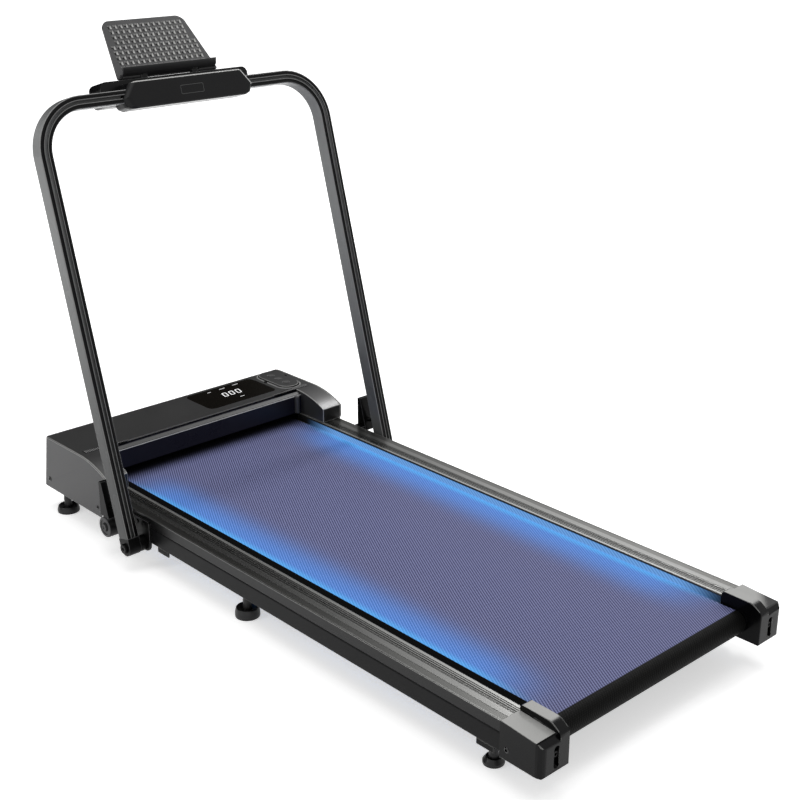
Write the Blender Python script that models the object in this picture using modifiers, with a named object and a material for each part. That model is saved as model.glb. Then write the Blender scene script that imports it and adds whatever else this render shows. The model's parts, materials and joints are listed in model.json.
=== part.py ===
"""Folding treadmill: steel base, deck and running belt, motor hood, fold-down handlebar.

Metres. +Z up, +Y toward the motor hood, +X the user's right. The origin is the middle
of the floor under the treadmill.
"""
from math import atan2, cos, pi, radians, sin, sqrt, tan

import bmesh
import bpy
from mathutils import Matrix, Vector

for old in list(bpy.data.objects):
    bpy.data.objects.remove(old, do_unlink=True)

GAP = 0.0003

# Length, and where the hood starts
HALF_LENGTH = 0.600
HOOD_BACK = HALF_LENGTH - 0.1355
ARM_TIP = HOOD_BACK - 0.083

# Half width of the belt, from which the widths follow
BELT_HALF = 0.2035

# Side tubes and cross members
TUBE_WIDE = 0.040
TUBE_IN = BELT_HALF + 0.0125
TUBE_OUT = TUBE_IN + TUBE_WIDE
TUBE_LOW = 0.0455
TUBE_TALL = 0.0298
TUBE_TOP = TUBE_LOW + TUBE_TALL
TUBE_WALL = 0.0018
TUBE_FRONT = HALF_LENGTH - 0.025
TUBE_MID = (TUBE_IN + TUBE_OUT) / 2

# Running belt, rollers and axles
BELT_THICK = 0.0016
BELT_TOP = 0.085
ROLLER_R = 0.0159
ROLLER_WALL = 0.002
ROLLER_Z = BELT_TOP - BELT_THICK - GAP - ROLLER_R
DRUM_HALF = BELT_HALF + 0.002
DRUM_END = 0.010
REAR_ROLLER_Y = -HALF_LENGTH + 0.0395
FRONT_ROLLER_Y = HALF_LENGTH - 0.122
AXLE_R = 0.005
BELT_IN_R = ROLLER_R + GAP
BELT_OUT_R = BELT_IN_R + BELT_THICK

# Deck
DECK_TOP = ROLLER_Z + ROLLER_R
DECK_THICK = 0.015
DECK_LOW = DECK_TOP - DECK_THICK
DECK_HALF = BELT_HALF + 0.005
CUSHION_THICK = 0.002
CUSHION_TOP = DECK_LOW - GAP
CUSHION_LOW = CUSHION_TOP - CUSHION_THICK
CUSHION_X = (DECK_HALF - 0.0585, DECK_HALF - 0.0135)
CUSHION_Y = (REAR_ROLLER_Y + 0.0405, FRONT_ROLLER_Y - 0.038)
MEMBER_TOP = CUSHION_LOW - GAP
MEMBER_TALL = 0.012
MEMBER_LONG = 0.040
MEMBER_WALL = 0.0016
MEMBER_Y = {"rear": -0.7 * HALF_LENGTH, "middle": -0.05 * HALF_LENGTH, "front": 0.6 * HALF_LENGTH}

# Foot rails
RAIL_LOW = TUBE_TOP + GAP
RAIL_TALL = 0.0176
RAIL_TOP = RAIL_LOW + RAIL_TALL
RAIL_WIDE = 0.0435
RAIL_IN = TUBE_OUT - RAIL_WIDE
RAIL_WALL = 0.002
RAIL_FRONT = HOOD_BACK - 0.0095
DECK_FRONT = RAIL_FRONT - 0.004
RAIL_GROOVES = (0.0075, 0.011, 0.0145, 0.018)
GROOVE = 0.001
BAND_FROM = 0.031
BAND_TO = 0.041
BAND_DEEP = 0.0005
STRIP_THICK = 0.0022
STRIP_Z = (RAIL_LOW + 0.001, RAIL_LOW + 0.0048)
STRIP_Y = (-HALF_LENGTH + 0.100, RAIL_FRONT - 0.035)

# Rear caps
CAP_REAR = -HALF_LENGTH
CAP_LONG = 0.070
CAP_FRONT = CAP_REAR + CAP_LONG
CAP_IN = DRUM_HALF + 0.001
CAP_OUT = TUBE_OUT + 0.0035
CAP_LOW = TUBE_LOW - 0.0041
CAP_FRONT_TOP = RAIL_TOP + 0.0023
CAP_REAR_TOP = RAIL_TOP - 0.0014
GUARD_WIDE = 0.018
GUARD_TOP = RAIL_TOP + 0.0113
CAP_CORNER = 0.010
CAP_WALL = 0.003
CAP_SCREW = (CAP_FRONT - 0.0128, 0.058)
CAP_SCREW_R = 0.0042
RAIL_REAR = CAP_FRONT + GAP
BOLT_X = TUBE_MID - 0.005
BOLT_R = 0.0025
BOLT_HEAD_R = 0.0045
BOLT_HEAD = 0.004
RECESS_DEEP = 0.006
RECESS_HALF = 0.005
AXLE_SLOT_HALF = AXLE_R + 0.001
TUBE_REAR = CAP_REAR + 0.0098

# Motor hood
HOOD_OUT = TUBE_OUT + GAP + 0.002
HOOD_LOW = TUBE_LOW - 0.0028
HOOD_TOP = 0.140
HOOD_FRONT_TOP = HALF_LENGTH - 0.0183
HOOD_WALL = 0.0026
HOOD_SIDE_WALL = 0.002
ARM_R = 0.186
ARM_LOW = RAIL_TOP + 0.0005
ARM_IN = TUBE_IN + 0.0005
HOOD_ROUND = 0.005
HOOD_CORNER = 0.013
SIDE_IN = HOOD_OUT + GAP
SIDE_THICK = 0.0025
SIDE_OUT = SIDE_IN + SIDE_THICK
SIDE_LOW = HOOD_LOW - 0.0002
SIDE_SCREWS = ((HALF_LENGTH - 0.0271, HOOD_LOW + 0.0172), (ARM_TIP + 0.0309, HOOD_LOW + 0.0170))
BOSS_R = 0.005
FASCIA_HALF = ARM_IN - GAP
FLOOR_LOW = TUBE_LOW + 0.0002
FLOOR_THICK = 0.002
FLOOR_TOP = FLOOR_LOW + FLOOR_THICK
FLOOR_HALF = TUBE_IN - GAP
FLOOR_BACK = HOOD_BACK + 0.0405
FASCIA_LOW = RAIL_TOP + 0.0053

# Display, remote and its dock
WINDOW_X = (TUBE_MID - 0.199, TUBE_MID - 0.049)
WINDOW_Y = (HOOD_BACK + 0.0205, HOOD_BACK + 0.1005)
WINDOW_ROUND = 0.010
WINDOW_THICK = 0.0014
WINDOW_LEDGE = 0.003
REMOTE_X = TUBE_MID - 0.0145
REMOTE_Y = HOOD_BACK + 0.0592
REMOTE_WIDE = 0.043
REMOTE_LONG = 0.098
REMOTE_TALL = 0.012
DOCK_ROOM = 0.0015
DOCK_WALL = 0.0018
DOCK_DEEP = 0.009
KEY_R = 0.0065
KEY_TALL = 0.0022
KEY_STEP = 0.024

# Drive
PULLEY_R = 0.019
MOTOR_PULLEY_R = PULLEY_R / 2
PULLEY_X = (-TUBE_IN + 0.001, -DRUM_HALF - GAP)
DRIVE_BELT_THICK = 0.002
DRIVE_BELT_X = (PULLEY_X[0] + 0.0004, PULLEY_X[1] - 0.0004)
V_DEEP = 0.0015
MOTOR_Y = HALF_LENGTH - 0.052
MOTOR_Z = 0.085
MOTOR_R = 0.028
MOTOR_X = (PULLEY_X[0] + 0.025, PULLEY_X[0] + 0.155)
SHAFT_R = 0.004
CONTROL_X = (0.030, 0.190)
CONTROL_Y = (MOTOR_Y - 0.033, MOTOR_Y + 0.022)

# Inlet and switch, built in the frame of the leaning front wall
INLET_X = 0.135
INLET_Z = 0.072
INLET_FLANGE = (0.035, 0.015)
INLET_BODY = (0.031, 0.0125)
INLET_DEEP = 0.016
FLANGE_THICK = 0.002
SOCKET_X = 0.012
SOCKET_HALF = (0.012, 0.008)
SWITCH_X = -0.019
SWITCH_HALF = (0.0062, 0.0092)
ROCK = radians(8)

# Handlebar: built upright in its own frame, then leaned
LEAN = radians(15.70)
PIVOT = Vector((0.0, HALF_LENGTH - 0.323, 0.043))
POST_WIDE = 0.022
POST_DEEP = 0.028
POST_IN = TUBE_OUT + 0.016
POST_OUT = POST_IN + POST_WIDE
POST_X = POST_IN + POST_WIDE / 2
POST_ROUND = 0.003
BAR_Z = 0.7153
BEND_R = 0.078
POST_START = 0.0163
SLOT_HALF = 0.00225
SLOT_DEEP = 0.006
HOLLOW_HALF = POST_WIDE / 2 - 0.0025
HOLLOW_BACK = POST_DEEP / 2 - SLOT_DEEP - 0.0015
HOLLOW_FRONT = POST_DEEP / 2 - 0.0025
TONGUE_TOP = 0.040
PIN_R = 0.005
PIN_HEAD_R = 0.0085
PIN_HEAD = 0.0042
PLATE_IN = TUBE_OUT + GAP
BRACKET_THICK = 0.004
BRACKET_Y = (PIVOT.y - 0.022, PIVOT.y + 0.029)
BRACKET_Z = (0.031, 0.086)
BRACKET_ROUND = 0.014
BRACKET_SCREWS = ((PIVOT.y + 0.0125, BRACKET_Z[1] - 0.0082), (PIVOT.y - 0.005, BRACKET_Z[1] - 0.007))
BRACKET_BOSS_R = 0.013

# Stop bracket and transport wheel
CHEEK_THICK = 0.003
CHEEK_Y = (BRACKET_Y[1] + 0.0015, PIVOT.y + 0.095)
CHEEK_Z = (0.0405, 0.089)
STOP_BACK = 0.034
STOP_FRONT_Y = PIVOT.y + 0.0695
STOP_TOP = 0.140
STOP_LOW = 0.080
STOP_SHEET = 0.0025
BUMPER_R = 0.005
BUMPER_UP = 0.068
WHEEL_Y = PIVOT.y + 0.076
WHEEL_Z = 0.051
WHEEL_R = 0.018
WHEEL_PIN_R = 0.004
WHEEL_OUT = POST_OUT - 0.007

# Console and tablet holder, in the handlebar frame with z measured from the crossbar
REAR_SHELL = 0.021
SHELL_RIM = ((0.1115, 0.022), (0.131, -0.004), (0.124, -0.018), (0.116, -0.022))
FRONT_HALF = 0.149
SHELL_HOLLOW = 0.110
FRONT_FAR = 0.052
FRONT_Z = (-0.0115, 0.0295)
FRONT_ROUND = 0.012
HINGE_Y = 0.034
HINGE_Z = FRONT_Z[1] + 0.0055
LUG_X = (0.045, 0.058)
LUG_R = 0.005
LUG_ROOM = 0.0013
TRUNNION_R = 0.0025
HOLDER_LEAN = radians(41)
HOLDER_FOOT = -0.0024
HOLDER_BACK = 0.0014
HOLDER_LONG = 0.114
HOLDER_LOW_HALF = 0.101
HOLDER_TOP_HALF = 0.081
HOLDER_THICK = 0.003
HOLDER_CORNER = 0.018
DIMPLE = 0.0078
DIMPLE_FLOOR = 0.0036
DIMPLE_DEEP = 0.0018
DIMPLE_PITCH = (0.0108, 0.0102)
DIMPLE_START = 0.0170
DIMPLE_ROWS = 9
DIMPLE_EDGE = 0.0045
LEDGE = ((0.0032, 0.0117), (0.0103, 0.0186), (0.0121, 0.0167), (0.0045, 0.0095))
LEDGE_HALF = 0.094

# Levelling feet
FOOT_X = {"front": TUBE_MID + 0.0068, "middle": TUBE_MID - 0.0022, "rear": TUBE_MID - 0.0064}
FOOT_Y = {"front": HALF_LENGTH - 0.051, "middle": 0.0475 * HALF_LENGTH, "rear": -HALF_LENGTH + 0.1062}
PAD = {"front": (0.0197, 0.0175, 0.0118), "middle": (0.0197, 0.0178, 0.0155),
       "rear": (0.0150, 0.0113, 0.0105)}
STEM_R = 0.007

SIDES = {"left": -1, "right": 1}

scene = bpy.context.scene
parts = bpy.data.collections.new("folding_treadmill")
cutters = bpy.data.collections.new("cutters")
scene.collection.children.link(parts)
scene.collection.children.link(cutters)


# Materials

def linear(channel):
    """One sRGB channel, 0 to 1, as linear light."""
    if channel <= 0.04045:
        return channel / 12.92
    return ((channel + 0.055) / 1.055) ** 2.4


def material(name, code, roughness, metallic=0.0, glow=0.0):
    """A Principled material from an sRGB hex code."""
    rgb = [linear(int(code[i:i + 2], 16) / 255) for i in (0, 2, 4)]
    made = bpy.data.materials.new(name)
    made.use_nodes = True
    shader = made.node_tree.nodes["Principled BSDF"]
    shader.inputs["Base Color"].default_value = (*rgb, 1)
    shader.inputs["Roughness"].default_value = roughness
    shader.inputs["Metallic"].default_value = metallic
    shader.inputs["Emission Color"].default_value = (*rgb, 1)
    shader.inputs["Emission Strength"].default_value = glow
    made.diffuse_color = (*rgb, 1)
    return made


TUBE_PAINT = material("tube_paint", "2b2b2c", 0.45)
RAIL_METAL = material("rail_metal", "5c5d5e", 0.38, 1.0)
CAP_PLASTIC = material("cap_plastic", "3a3a3b", 0.5)
HOOD_PLASTIC = material("hood_plastic", "454545", 0.48)
SIDE_PLASTIC = material("side_plastic", "525253", 0.42)
FASCIA_PLASTIC = material("fascia_plastic", "2c2833", 0.35)
DARK_PLASTIC = material("dark_plastic", "1f1f20", 0.5)
GLOSS_BLACK = material("gloss_black", "15120f", 0.12)
KEY_PLASTIC = material("key_plastic", "4a4a4b", 0.45)
BELT_RUBBER = material("belt_rubber", "62628a", 0.6)
FOOT_RUBBER = material("foot_rubber", "1b1b1c", 0.8)
CUSHION_RUBBER = material("cushion_rubber", "2a2a2a", 0.85)
DECK_WOOD = material("deck_wood", "6d5238", 0.6)
STEEL = material("steel", "8b8d8f", 0.35, 1.0)
BLACK_STEEL = material("black_steel", "1d1d1e", 0.4, 1.0)
POST_METAL = material("post_metal", "3a3b3d", 0.34, 1.0)
BOARD_GREEN = material("board_green", "1d4a32", 0.55)
MOTOR_PAINT = material("motor_paint", "26282b", 0.4)
WHEEL_PLASTIC = material("wheel_plastic", "242425", 0.55)
LIGHT_BLUE = material("light_blue", "4a90e8", 0.4, 0.0, 2.0)


# Shapes, each returned as a mesh in build coordinates

def weld(mesh):
    """Join the doubled points of a mesh and turn its faces outward."""
    work = bmesh.new()
    work.from_mesh(mesh)
    bmesh.ops.remove_doubles(work, verts=work.verts, dist=0.00001)
    bmesh.ops.recalc_face_normals(work, faces=work.faces)
    work.to_mesh(mesh)
    work.free()
    return mesh


def curve_mesh(curve):
    """A curve turned into a closed mesh."""
    holder = bpy.data.objects.new("shape", curve)
    scene.collection.objects.link(holder)
    graph = bpy.context.evaluated_depsgraph_get()
    mesh = bpy.data.meshes.new_from_object(holder.evaluated_get(graph))
    bpy.data.objects.remove(holder, do_unlink=True)
    return weld(mesh)


def add_loop(curve, points, closed=True):
    """One straight-sided loop of a flat curve."""
    spline = curve.splines.new("POLY")
    spline.points.add(len(points) - 1)
    for point, (a, b) in zip(spline.points, points):
        point.co = (a, b, 0, 1)
    spline.use_cyclic_u = closed


FACING = {
    "x": Matrix(((0, 0, 1, 0), (1, 0, 0, 0), (0, 1, 0, 0), (0, 0, 0, 1))),
    "y": Matrix(((1, 0, 0, 0), (0, 0, -1, 0), (0, 1, 0, 0), (0, 0, 0, 1))),
    "z": Matrix.Identity(4),
}
ALONG = {"x": Vector((1, 0, 0)), "y": Vector((0, 1, 0)), "z": Vector((0, 0, 1))}


def plate(axis, loops, low, high):
    """Flat loops filled and extruded along an axis, from low to high.

    Loops are in (y, z) for axis x, in (x, z) for axis y and in (x, y) for axis z.
    """
    curve = bpy.data.curves.new("outline", "CURVE")
    curve.dimensions = "2D"
    curve.fill_mode = "BOTH"
    curve.extrude = abs(high - low) / 2
    for loop in loops:
        add_loop(curve, loop)
    mesh = curve_mesh(curve)
    mesh.transform(Matrix.Translation(ALONG[axis] * (low + high) / 2) @ FACING[axis])
    return mesh


def box(x, y, z):
    """A block between two values on each axis."""
    spans = [sorted(pair) for pair in (x, y, z)]
    size = Vector([pair[1] - pair[0] for pair in spans])
    middle = Vector([(pair[1] + pair[0]) / 2 for pair in spans])
    work = bmesh.new()
    bmesh.ops.create_cube(work, size=1.0)
    bmesh.ops.transform(work, matrix=Matrix.Diagonal(size.to_4d()), verts=work.verts)
    bmesh.ops.translate(work, vec=middle, verts=work.verts)
    mesh = bpy.data.meshes.new("block")
    work.to_mesh(mesh)
    work.free()
    return mesh


def ring(a, b, radius, steps=24):
    """Points of a circle."""
    return [(a + radius * cos(2 * pi * i / steps), b + radius * sin(2 * pi * i / steps))
            for i in range(steps)]


def rod(axis, a, b, radius, low, high, steps=24):
    """A round bar along an axis."""
    return plate(axis, [ring(a, b, radius, steps)], low, high)


def turned(axis, middle, profile, steps=32):
    """A closed (radius, height) profile turned about a line through middle."""
    work = bmesh.new()
    verts = [work.verts.new((radius, 0, height)) for radius, height in profile]
    edges = [work.edges.new((verts[i - 1], verts[i])) for i in range(len(verts))]
    bmesh.ops.spin(work, geom=verts + edges, cent=(0, 0, 0), axis=(0, 0, 1),
                   dvec=(0, 0, 0), angle=2 * pi, steps=steps, use_merge=True)
    bmesh.ops.remove_doubles(work, verts=work.verts, dist=0.00001)
    bmesh.ops.dissolve_degenerate(work, edges=work.edges, dist=0.000001)
    loose = [edge for edge in work.edges if not edge.link_faces]
    bmesh.ops.delete(work, geom=loose, context="EDGES")
    doubled = [face for face in work.faces if face.calc_area() < 1e-12]
    bmesh.ops.delete(work, geom=doubled, context="FACES")
    bmesh.ops.recalc_face_normals(work, faces=work.faces)
    mesh = bpy.data.meshes.new("turned")
    work.to_mesh(mesh)
    work.free()
    mesh.transform(Matrix.Translation(Vector(middle)) @ FACING[axis])
    return mesh


def fillet(points, radii, steps=4):
    """A loop with its corners rounded; radii is one number or one for each corner."""
    if not isinstance(radii, (list, tuple)):
        radii = [radii] * len(points)
    out = []
    for i, (corner, radius) in enumerate(zip(points, radii)):
        here = Vector(corner)
        if radius <= 0:
            out.append(tuple(here))
            continue
        back = (Vector(points[i - 1]) - here).normalized()
        ahead = (Vector(points[(i + 1) % len(points)]) - here).normalized()
        half = back.angle(ahead) / 2
        middle = here + (back + ahead).normalized() * (radius / sin(half))
        first = here + back * (radius / tan(half)) - middle
        sweep = pi - 2 * half
        if back.x * ahead.y - back.y * ahead.x > 0:
            sweep = -sweep
        for step in range(steps + 1):
            turn = Matrix.Rotation(sweep * step / steps, 2)
            out.append(tuple(middle + turn @ first))
    return out


def rectangle(a, b, radius=0.0, steps=4):
    """A loop between two values each way, with one corner radius."""
    loop = [(a[0], b[0]), (a[1], b[0]), (a[1], b[1]), (a[0], b[1])]
    return fillet(loop, radius, steps) if radius else loop


def belt_loop(one, two, steps=12):
    """The loop of a belt round two circles, each (a, b, radius); one has the lower a."""
    (a1, b1, r1), (a2, b2, r2) = one, two
    reach = Vector((a2 - a1, b2 - b1))
    base = atan2(reach.y, reach.x)
    tilt = atan2(sqrt(reach.length ** 2 - (r1 - r2) ** 2), r1 - r2)
    points = []
    for i in range(steps + 1):
        turn = base + tilt + (2 * pi - 2 * tilt) * i / steps
        points.append((a1 + r1 * cos(turn), b1 + r1 * sin(turn)))
    for i in range(steps + 1):
        turn = base - tilt + 2 * tilt * i / steps
        points.append((a2 + r2 * cos(turn), b2 + r2 * sin(turn)))
    return points


def joined(meshes):
    """Separate shells put together in one mesh."""
    work = bmesh.new()
    for mesh in meshes:
        work.from_mesh(mesh)
    out = bpy.data.meshes.new("joined")
    work.to_mesh(out)
    work.free()
    return out


def moved(mesh, matrix):
    """A mesh moved by a matrix."""
    mesh.transform(matrix)
    return mesh


def shared(one, two):
    """The space that two closed meshes share, as a mesh."""
    body, tool = [bpy.data.objects.new("shape", mesh) for mesh in (one, two)]
    for item in (body, tool):
        scene.collection.objects.link(item)
    step = body.modifiers.new("shared", "BOOLEAN")
    step.operation = "INTERSECT"
    step.solver = "EXACT"
    step.object = tool
    graph = bpy.context.evaluated_depsgraph_get()
    mesh = bpy.data.meshes.new_from_object(body.evaluated_get(graph))
    for item in (body, tool):
        bpy.data.objects.remove(item, do_unlink=True)
    return mesh


# Pieces

def piece(name, mesh, paint, smooth=None):
    """A named piece of the treadmill; smooth is the angle below which edges are soft."""
    mesh.name = name
    mesh.materials.clear()
    mesh.materials.append(paint)
    made = bpy.data.objects.new(name, mesh)
    parts.objects.link(made)
    if smooth is not None:
        mesh.polygons.foreach_set("use_smooth", [True] * len(mesh.polygons))
        mesh.set_sharp_from_angle(angle=radians(smooth))
    return made


def combine(target, meshes, operation):
    """One Boolean of separate shells on a piece."""
    tool = bpy.data.objects.new(target.name + "_tool", joined(meshes))
    cutters.objects.link(tool)
    tool.hide_render = True
    tool.display_type = "WIRE"
    step = target.modifiers.new(operation.lower(), "BOOLEAN")
    step.operation = operation
    step.solver = "EXACT"
    step.object = tool
    return target


def cut(target, *meshes):
    return combine(target, meshes, "DIFFERENCE")


def fuse(target, *meshes):
    return combine(target, meshes, "UNION")


def put(target, origin, lean=0.0, about=None):
    """Set a piece and its tools at an origin.

    Built in world coordinates, the piece is drawn back by the origin first; built in a
    frame of its own (about given), it is drawn back by about and leaned.
    """
    start = Vector(origin if about is None else about)
    for item in [target] + [step.object for step in target.modifiers if step.type == "BOOLEAN"]:
        item.data.transform(Matrix.Translation(-start))
        item.location = origin
        item.rotation_euler = (-lean, 0, 0)
    return target


def span(side, near, far):
    """The two x values of a piece on one side."""
    return tuple(sorted((side * near, side * far)))


def mirrored(side, loop):
    """A loop whose first value is an x distance, for one side."""
    return [(side * a, b) for a, b in loop]


# Base frame

def side_tube(name, side):
    """A box tube with a slot for the rear axle and two tabs welded under it."""
    outer = [(TUBE_IN, TUBE_LOW), (TUBE_OUT, TUBE_LOW), (TUBE_OUT, TUBE_TOP), (TUBE_IN, TUBE_TOP)]
    inner = rectangle((TUBE_IN + TUBE_WALL, TUBE_OUT - TUBE_WALL),
                      (TUBE_LOW + TUBE_WALL, TUBE_TOP - TUBE_WALL))
    loops = [mirrored(side, fillet(outer, 0.003, 3)), mirrored(side, inner)]
    tube = piece("side_tube_" + name, plate("y", loops, TUBE_REAR, TUBE_FRONT), TUBE_PAINT)
    tab_x = span(side, TUBE_OUT - 0.0035, TUBE_OUT - 0.0005)
    tabs = [box(tab_x, y, (TUBE_LOW - 0.008, TUBE_LOW + TUBE_WALL / 2))
            for y in ((FOOT_Y["rear"] - 0.023, FOOT_Y["rear"] + 0.008), (PIVOT.y - 0.067, PIVOT.y - 0.037))]
    fuse(tube, *tabs)
    cut(tube, box(span(side, TUBE_IN - 0.002, TUBE_IN + TUBE_WALL + 0.001),
                  (TUBE_REAR - 0.005, REAR_ROLLER_Y + AXLE_SLOT_HALF + GAP),
                  (ROLLER_Z - AXLE_SLOT_HALF, ROLLER_Z + AXLE_SLOT_HALF)))
    return put(tube, (side * TUBE_MID, 0, (TUBE_LOW + TUBE_TOP) / 2))


def cross_member(name, y):
    half = MEMBER_LONG / 2
    low = MEMBER_TOP - MEMBER_TALL
    loops = [rectangle((y - half, y + half), (low, MEMBER_TOP), 0.002, 3),
             rectangle((y - half + MEMBER_WALL, y + half - MEMBER_WALL),
                       (low + MEMBER_WALL, MEMBER_TOP - MEMBER_WALL))]
    member = piece("cross_member_" + name,
                   plate("x", loops, -TUBE_IN + GAP, TUBE_IN - GAP), TUBE_PAINT)
    return put(member, (0, y, MEMBER_TOP - MEMBER_TALL / 2))


def rail_loop():
    """Outer loop of the foot rail: grooves near the belt, a sunk band near the edge."""
    inner, outer = RAIL_IN, TUBE_OUT
    loop = [(outer, RAIL_LOW), (outer, RAIL_TOP - 0.001), (outer - 0.001, RAIL_TOP)]
    loop += [(inner + BAND_TO, RAIL_TOP), (inner + BAND_TO, RAIL_TOP - BAND_DEEP)]
    loop += [(inner + BAND_FROM, RAIL_TOP - BAND_DEEP), (inner + BAND_FROM, RAIL_TOP)]
    for start in reversed(RAIL_GROOVES):
        near, far = inner + start - GROOVE / 2, inner + start + GROOVE / 2
        loop += [(far, RAIL_TOP), (far, RAIL_TOP - GROOVE)]
        loop += [(near, RAIL_TOP - GROOVE), (near, RAIL_TOP)]
    loop += [(inner + 0.001, RAIL_TOP), (inner, RAIL_TOP - 0.001), (inner, RAIL_LOW)]
    return loop


def foot_rail(name, side):
    hollow = rectangle((RAIL_IN + RAIL_WALL, TUBE_OUT - RAIL_WALL),
                       (RAIL_LOW + RAIL_WALL, RAIL_TOP - RAIL_WALL - GROOVE))
    loops = [mirrored(side, rail_loop()), mirrored(side, hollow)]
    rail = piece("foot_rail_" + name, plate("y", loops, RAIL_REAR, RAIL_FRONT), RAIL_METAL)
    return put(rail, (side * TUBE_MID, 0, RAIL_TOP))


def light_strip(name, side):
    strip = piece("light_strip_" + name,
                  box(span(side, RAIL_IN - GAP - STRIP_THICK, RAIL_IN - GAP), STRIP_Y, STRIP_Z),
                  LIGHT_BLUE)
    return put(strip, (side * (RAIL_IN - GAP - STRIP_THICK / 2), 0, sum(STRIP_Z) / 2))


def rear_cap(name, side):
    """Moulded end cap: body and belt guard, rounded in plan, with pockets and a bolt slot."""
    body = fillet([(CAP_FRONT, CAP_LOW), (CAP_FRONT, CAP_FRONT_TOP),
                   (CAP_REAR + 0.0075, CAP_REAR_TOP), (CAP_REAR, CAP_REAR_TOP - 0.0078),
                   (CAP_REAR, CAP_LOW)], [0.001, 0.0015, 0.004, 0.004, 0.003])
    guard = fillet([(CAP_FRONT - 0.001, CAP_LOW + 0.002), (CAP_FRONT - 0.001, GUARD_TOP),
                    (CAP_REAR + 0.0165, GUARD_TOP), (CAP_REAR, GUARD_TOP - 0.012),
                    (CAP_REAR, CAP_LOW + 0.002)], [0.001, 0.006, 0.020, 0.010, 0.001])
    plan = fillet(mirrored(side, [(CAP_IN, CAP_FRONT + 0.001), (CAP_OUT, CAP_FRONT + 0.001),
                                  (CAP_OUT, CAP_REAR), (CAP_IN, CAP_REAR)]),
                  [0, 0, CAP_CORNER, 0.0015], 5)
    cap = piece("rear_cap_" + name, plate("x", [body], *span(side, CAP_IN, CAP_OUT + 0.001)),
                CAP_PLASTIC, 40)
    fuse(cap, plate("x", [guard], *span(side, CAP_IN - 0.001, CAP_IN + GUARD_WIDE)))
    combine(cap, [plate("z", [plan], CAP_LOW - 0.01, GUARD_TOP + 0.01)], "INTERSECT")
    ahead = CAP_FRONT + 0.005
    cut(cap, box(span(side, TUBE_IN - GAP, TUBE_OUT + GAP), (TUBE_REAR - GAP, ahead),
                 (TUBE_LOW - GAP, TUBE_TOP + GAP)),
        box(span(side, CAP_IN + GUARD_WIDE + CAP_WALL, TUBE_OUT + GAP),
            (CAP_REAR + 0.014, ahead), (TUBE_TOP + CAP_WALL + GAP, CAP_REAR_TOP - CAP_WALL)))
    cut(cap, box(span(side, CAP_IN - 0.003, TUBE_IN + 0.001),
                 (REAR_ROLLER_Y - AXLE_SLOT_HALF - GAP, ahead),
                 (ROLLER_Z - AXLE_SLOT_HALF, ROLLER_Z + AXLE_SLOT_HALF)))
    recess = fillet(mirrored(side, [(BOLT_X - RECESS_HALF, TUBE_LOW + 0.002),
                                    (BOLT_X + RECESS_HALF, TUBE_LOW + 0.002),
                                    (BOLT_X + RECESS_HALF, TUBE_TOP + 0.0047),
                                    (BOLT_X - RECESS_HALF, TUBE_TOP + 0.0047)]),
                    RECESS_HALF * 0.96, 5)
    cut(cap, plate("y", [recess], CAP_REAR - 0.005, CAP_REAR + RECESS_DEEP))
    cut(cap, rod("y", side * BOLT_X, ROLLER_Z, BOLT_R + GAP, CAP_REAR - 0.01, TUBE_REAR + 0.01, 16),
        rod("x", *CAP_SCREW, CAP_SCREW_R, *span(side, CAP_OUT - 0.0015, CAP_OUT + 0.002), 16))
    return put(cap, (side * (CAP_IN + CAP_OUT) / 2, CAP_FRONT, CAP_LOW))


def tension_bolt(name, side):
    """Bolt along y that pulls the rear axle; the head has a hexagon socket."""
    seat = CAP_REAR + RECESS_DEEP - GAP
    profile = [(0, seat - BOLT_HEAD), (BOLT_HEAD_R - 0.0006, seat - BOLT_HEAD),
               (BOLT_HEAD_R, seat - BOLT_HEAD + 0.0006), (BOLT_HEAD_R, seat), (BOLT_R, seat),
               (BOLT_R, REAR_ROLLER_Y + 0.0145), (0, REAR_ROLLER_Y + 0.0145)]
    profile = [(radius, -y) for radius, y in profile]
    bolt = piece("tension_bolt_" + name,
                 turned("y", (side * BOLT_X, 0, ROLLER_Z), profile, 16), STEEL, 40)
    cut(bolt, rod("y", side * BOLT_X, ROLLER_Z, 0.0026, seat - BOLT_HEAD - 0.001,
                  seat - BOLT_HEAD + 0.002, 6))
    return put(bolt, (side * BOLT_X, seat, ROLLER_Z))


def levelling_foot(place, name, side):
    """Cone-shaped rubber pad with a dished top, on a stem; the rear pads are smaller."""
    x, y = side * FOOT_X[place], FOOT_Y[place]
    stem_top = TUBE_LOW - GAP
    wide, narrow, tall = PAD[place]
    dish = tall - 0.002
    profile = [(0, 0), (wide - 0.0022, 0), (wide - 0.0006, 0.0010), (wide, 0.0026),
               (narrow, tall), (narrow - 0.0012, tall), (narrow - 0.0024, dish),
               (STEM_R + 0.0012, dish), (STEM_R, dish + 0.0012), (STEM_R, stem_top), (0, stem_top)]
    foot = piece("foot_" + place + "_" + name, turned("z", (x, y, 0), profile, 24), FOOT_RUBBER, 40)
    return put(foot, (x, y, stem_top))


# Belt drive

def roller(name, y):
    """A hollow drum with thick ends, open inside to its bore."""
    bore = AXLE_R + GAP
    shell = ROLLER_R - ROLLER_WALL
    web = DRUM_HALF - DRUM_END
    profile = [(bore, -DRUM_HALF), (ROLLER_R - 0.0005, -DRUM_HALF),
               (ROLLER_R, -DRUM_HALF + 0.0005), (ROLLER_R, DRUM_HALF - 0.0005),
               (ROLLER_R - 0.0005, DRUM_HALF), (bore, DRUM_HALF), (bore, web), (shell, web),
               (shell, -web), (bore, -web)]
    drum = piece(name, turned("x", (0, y, ROLLER_Z), profile, 32), STEEL, 40)
    return put(drum, (0, y, ROLLER_Z))


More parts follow.
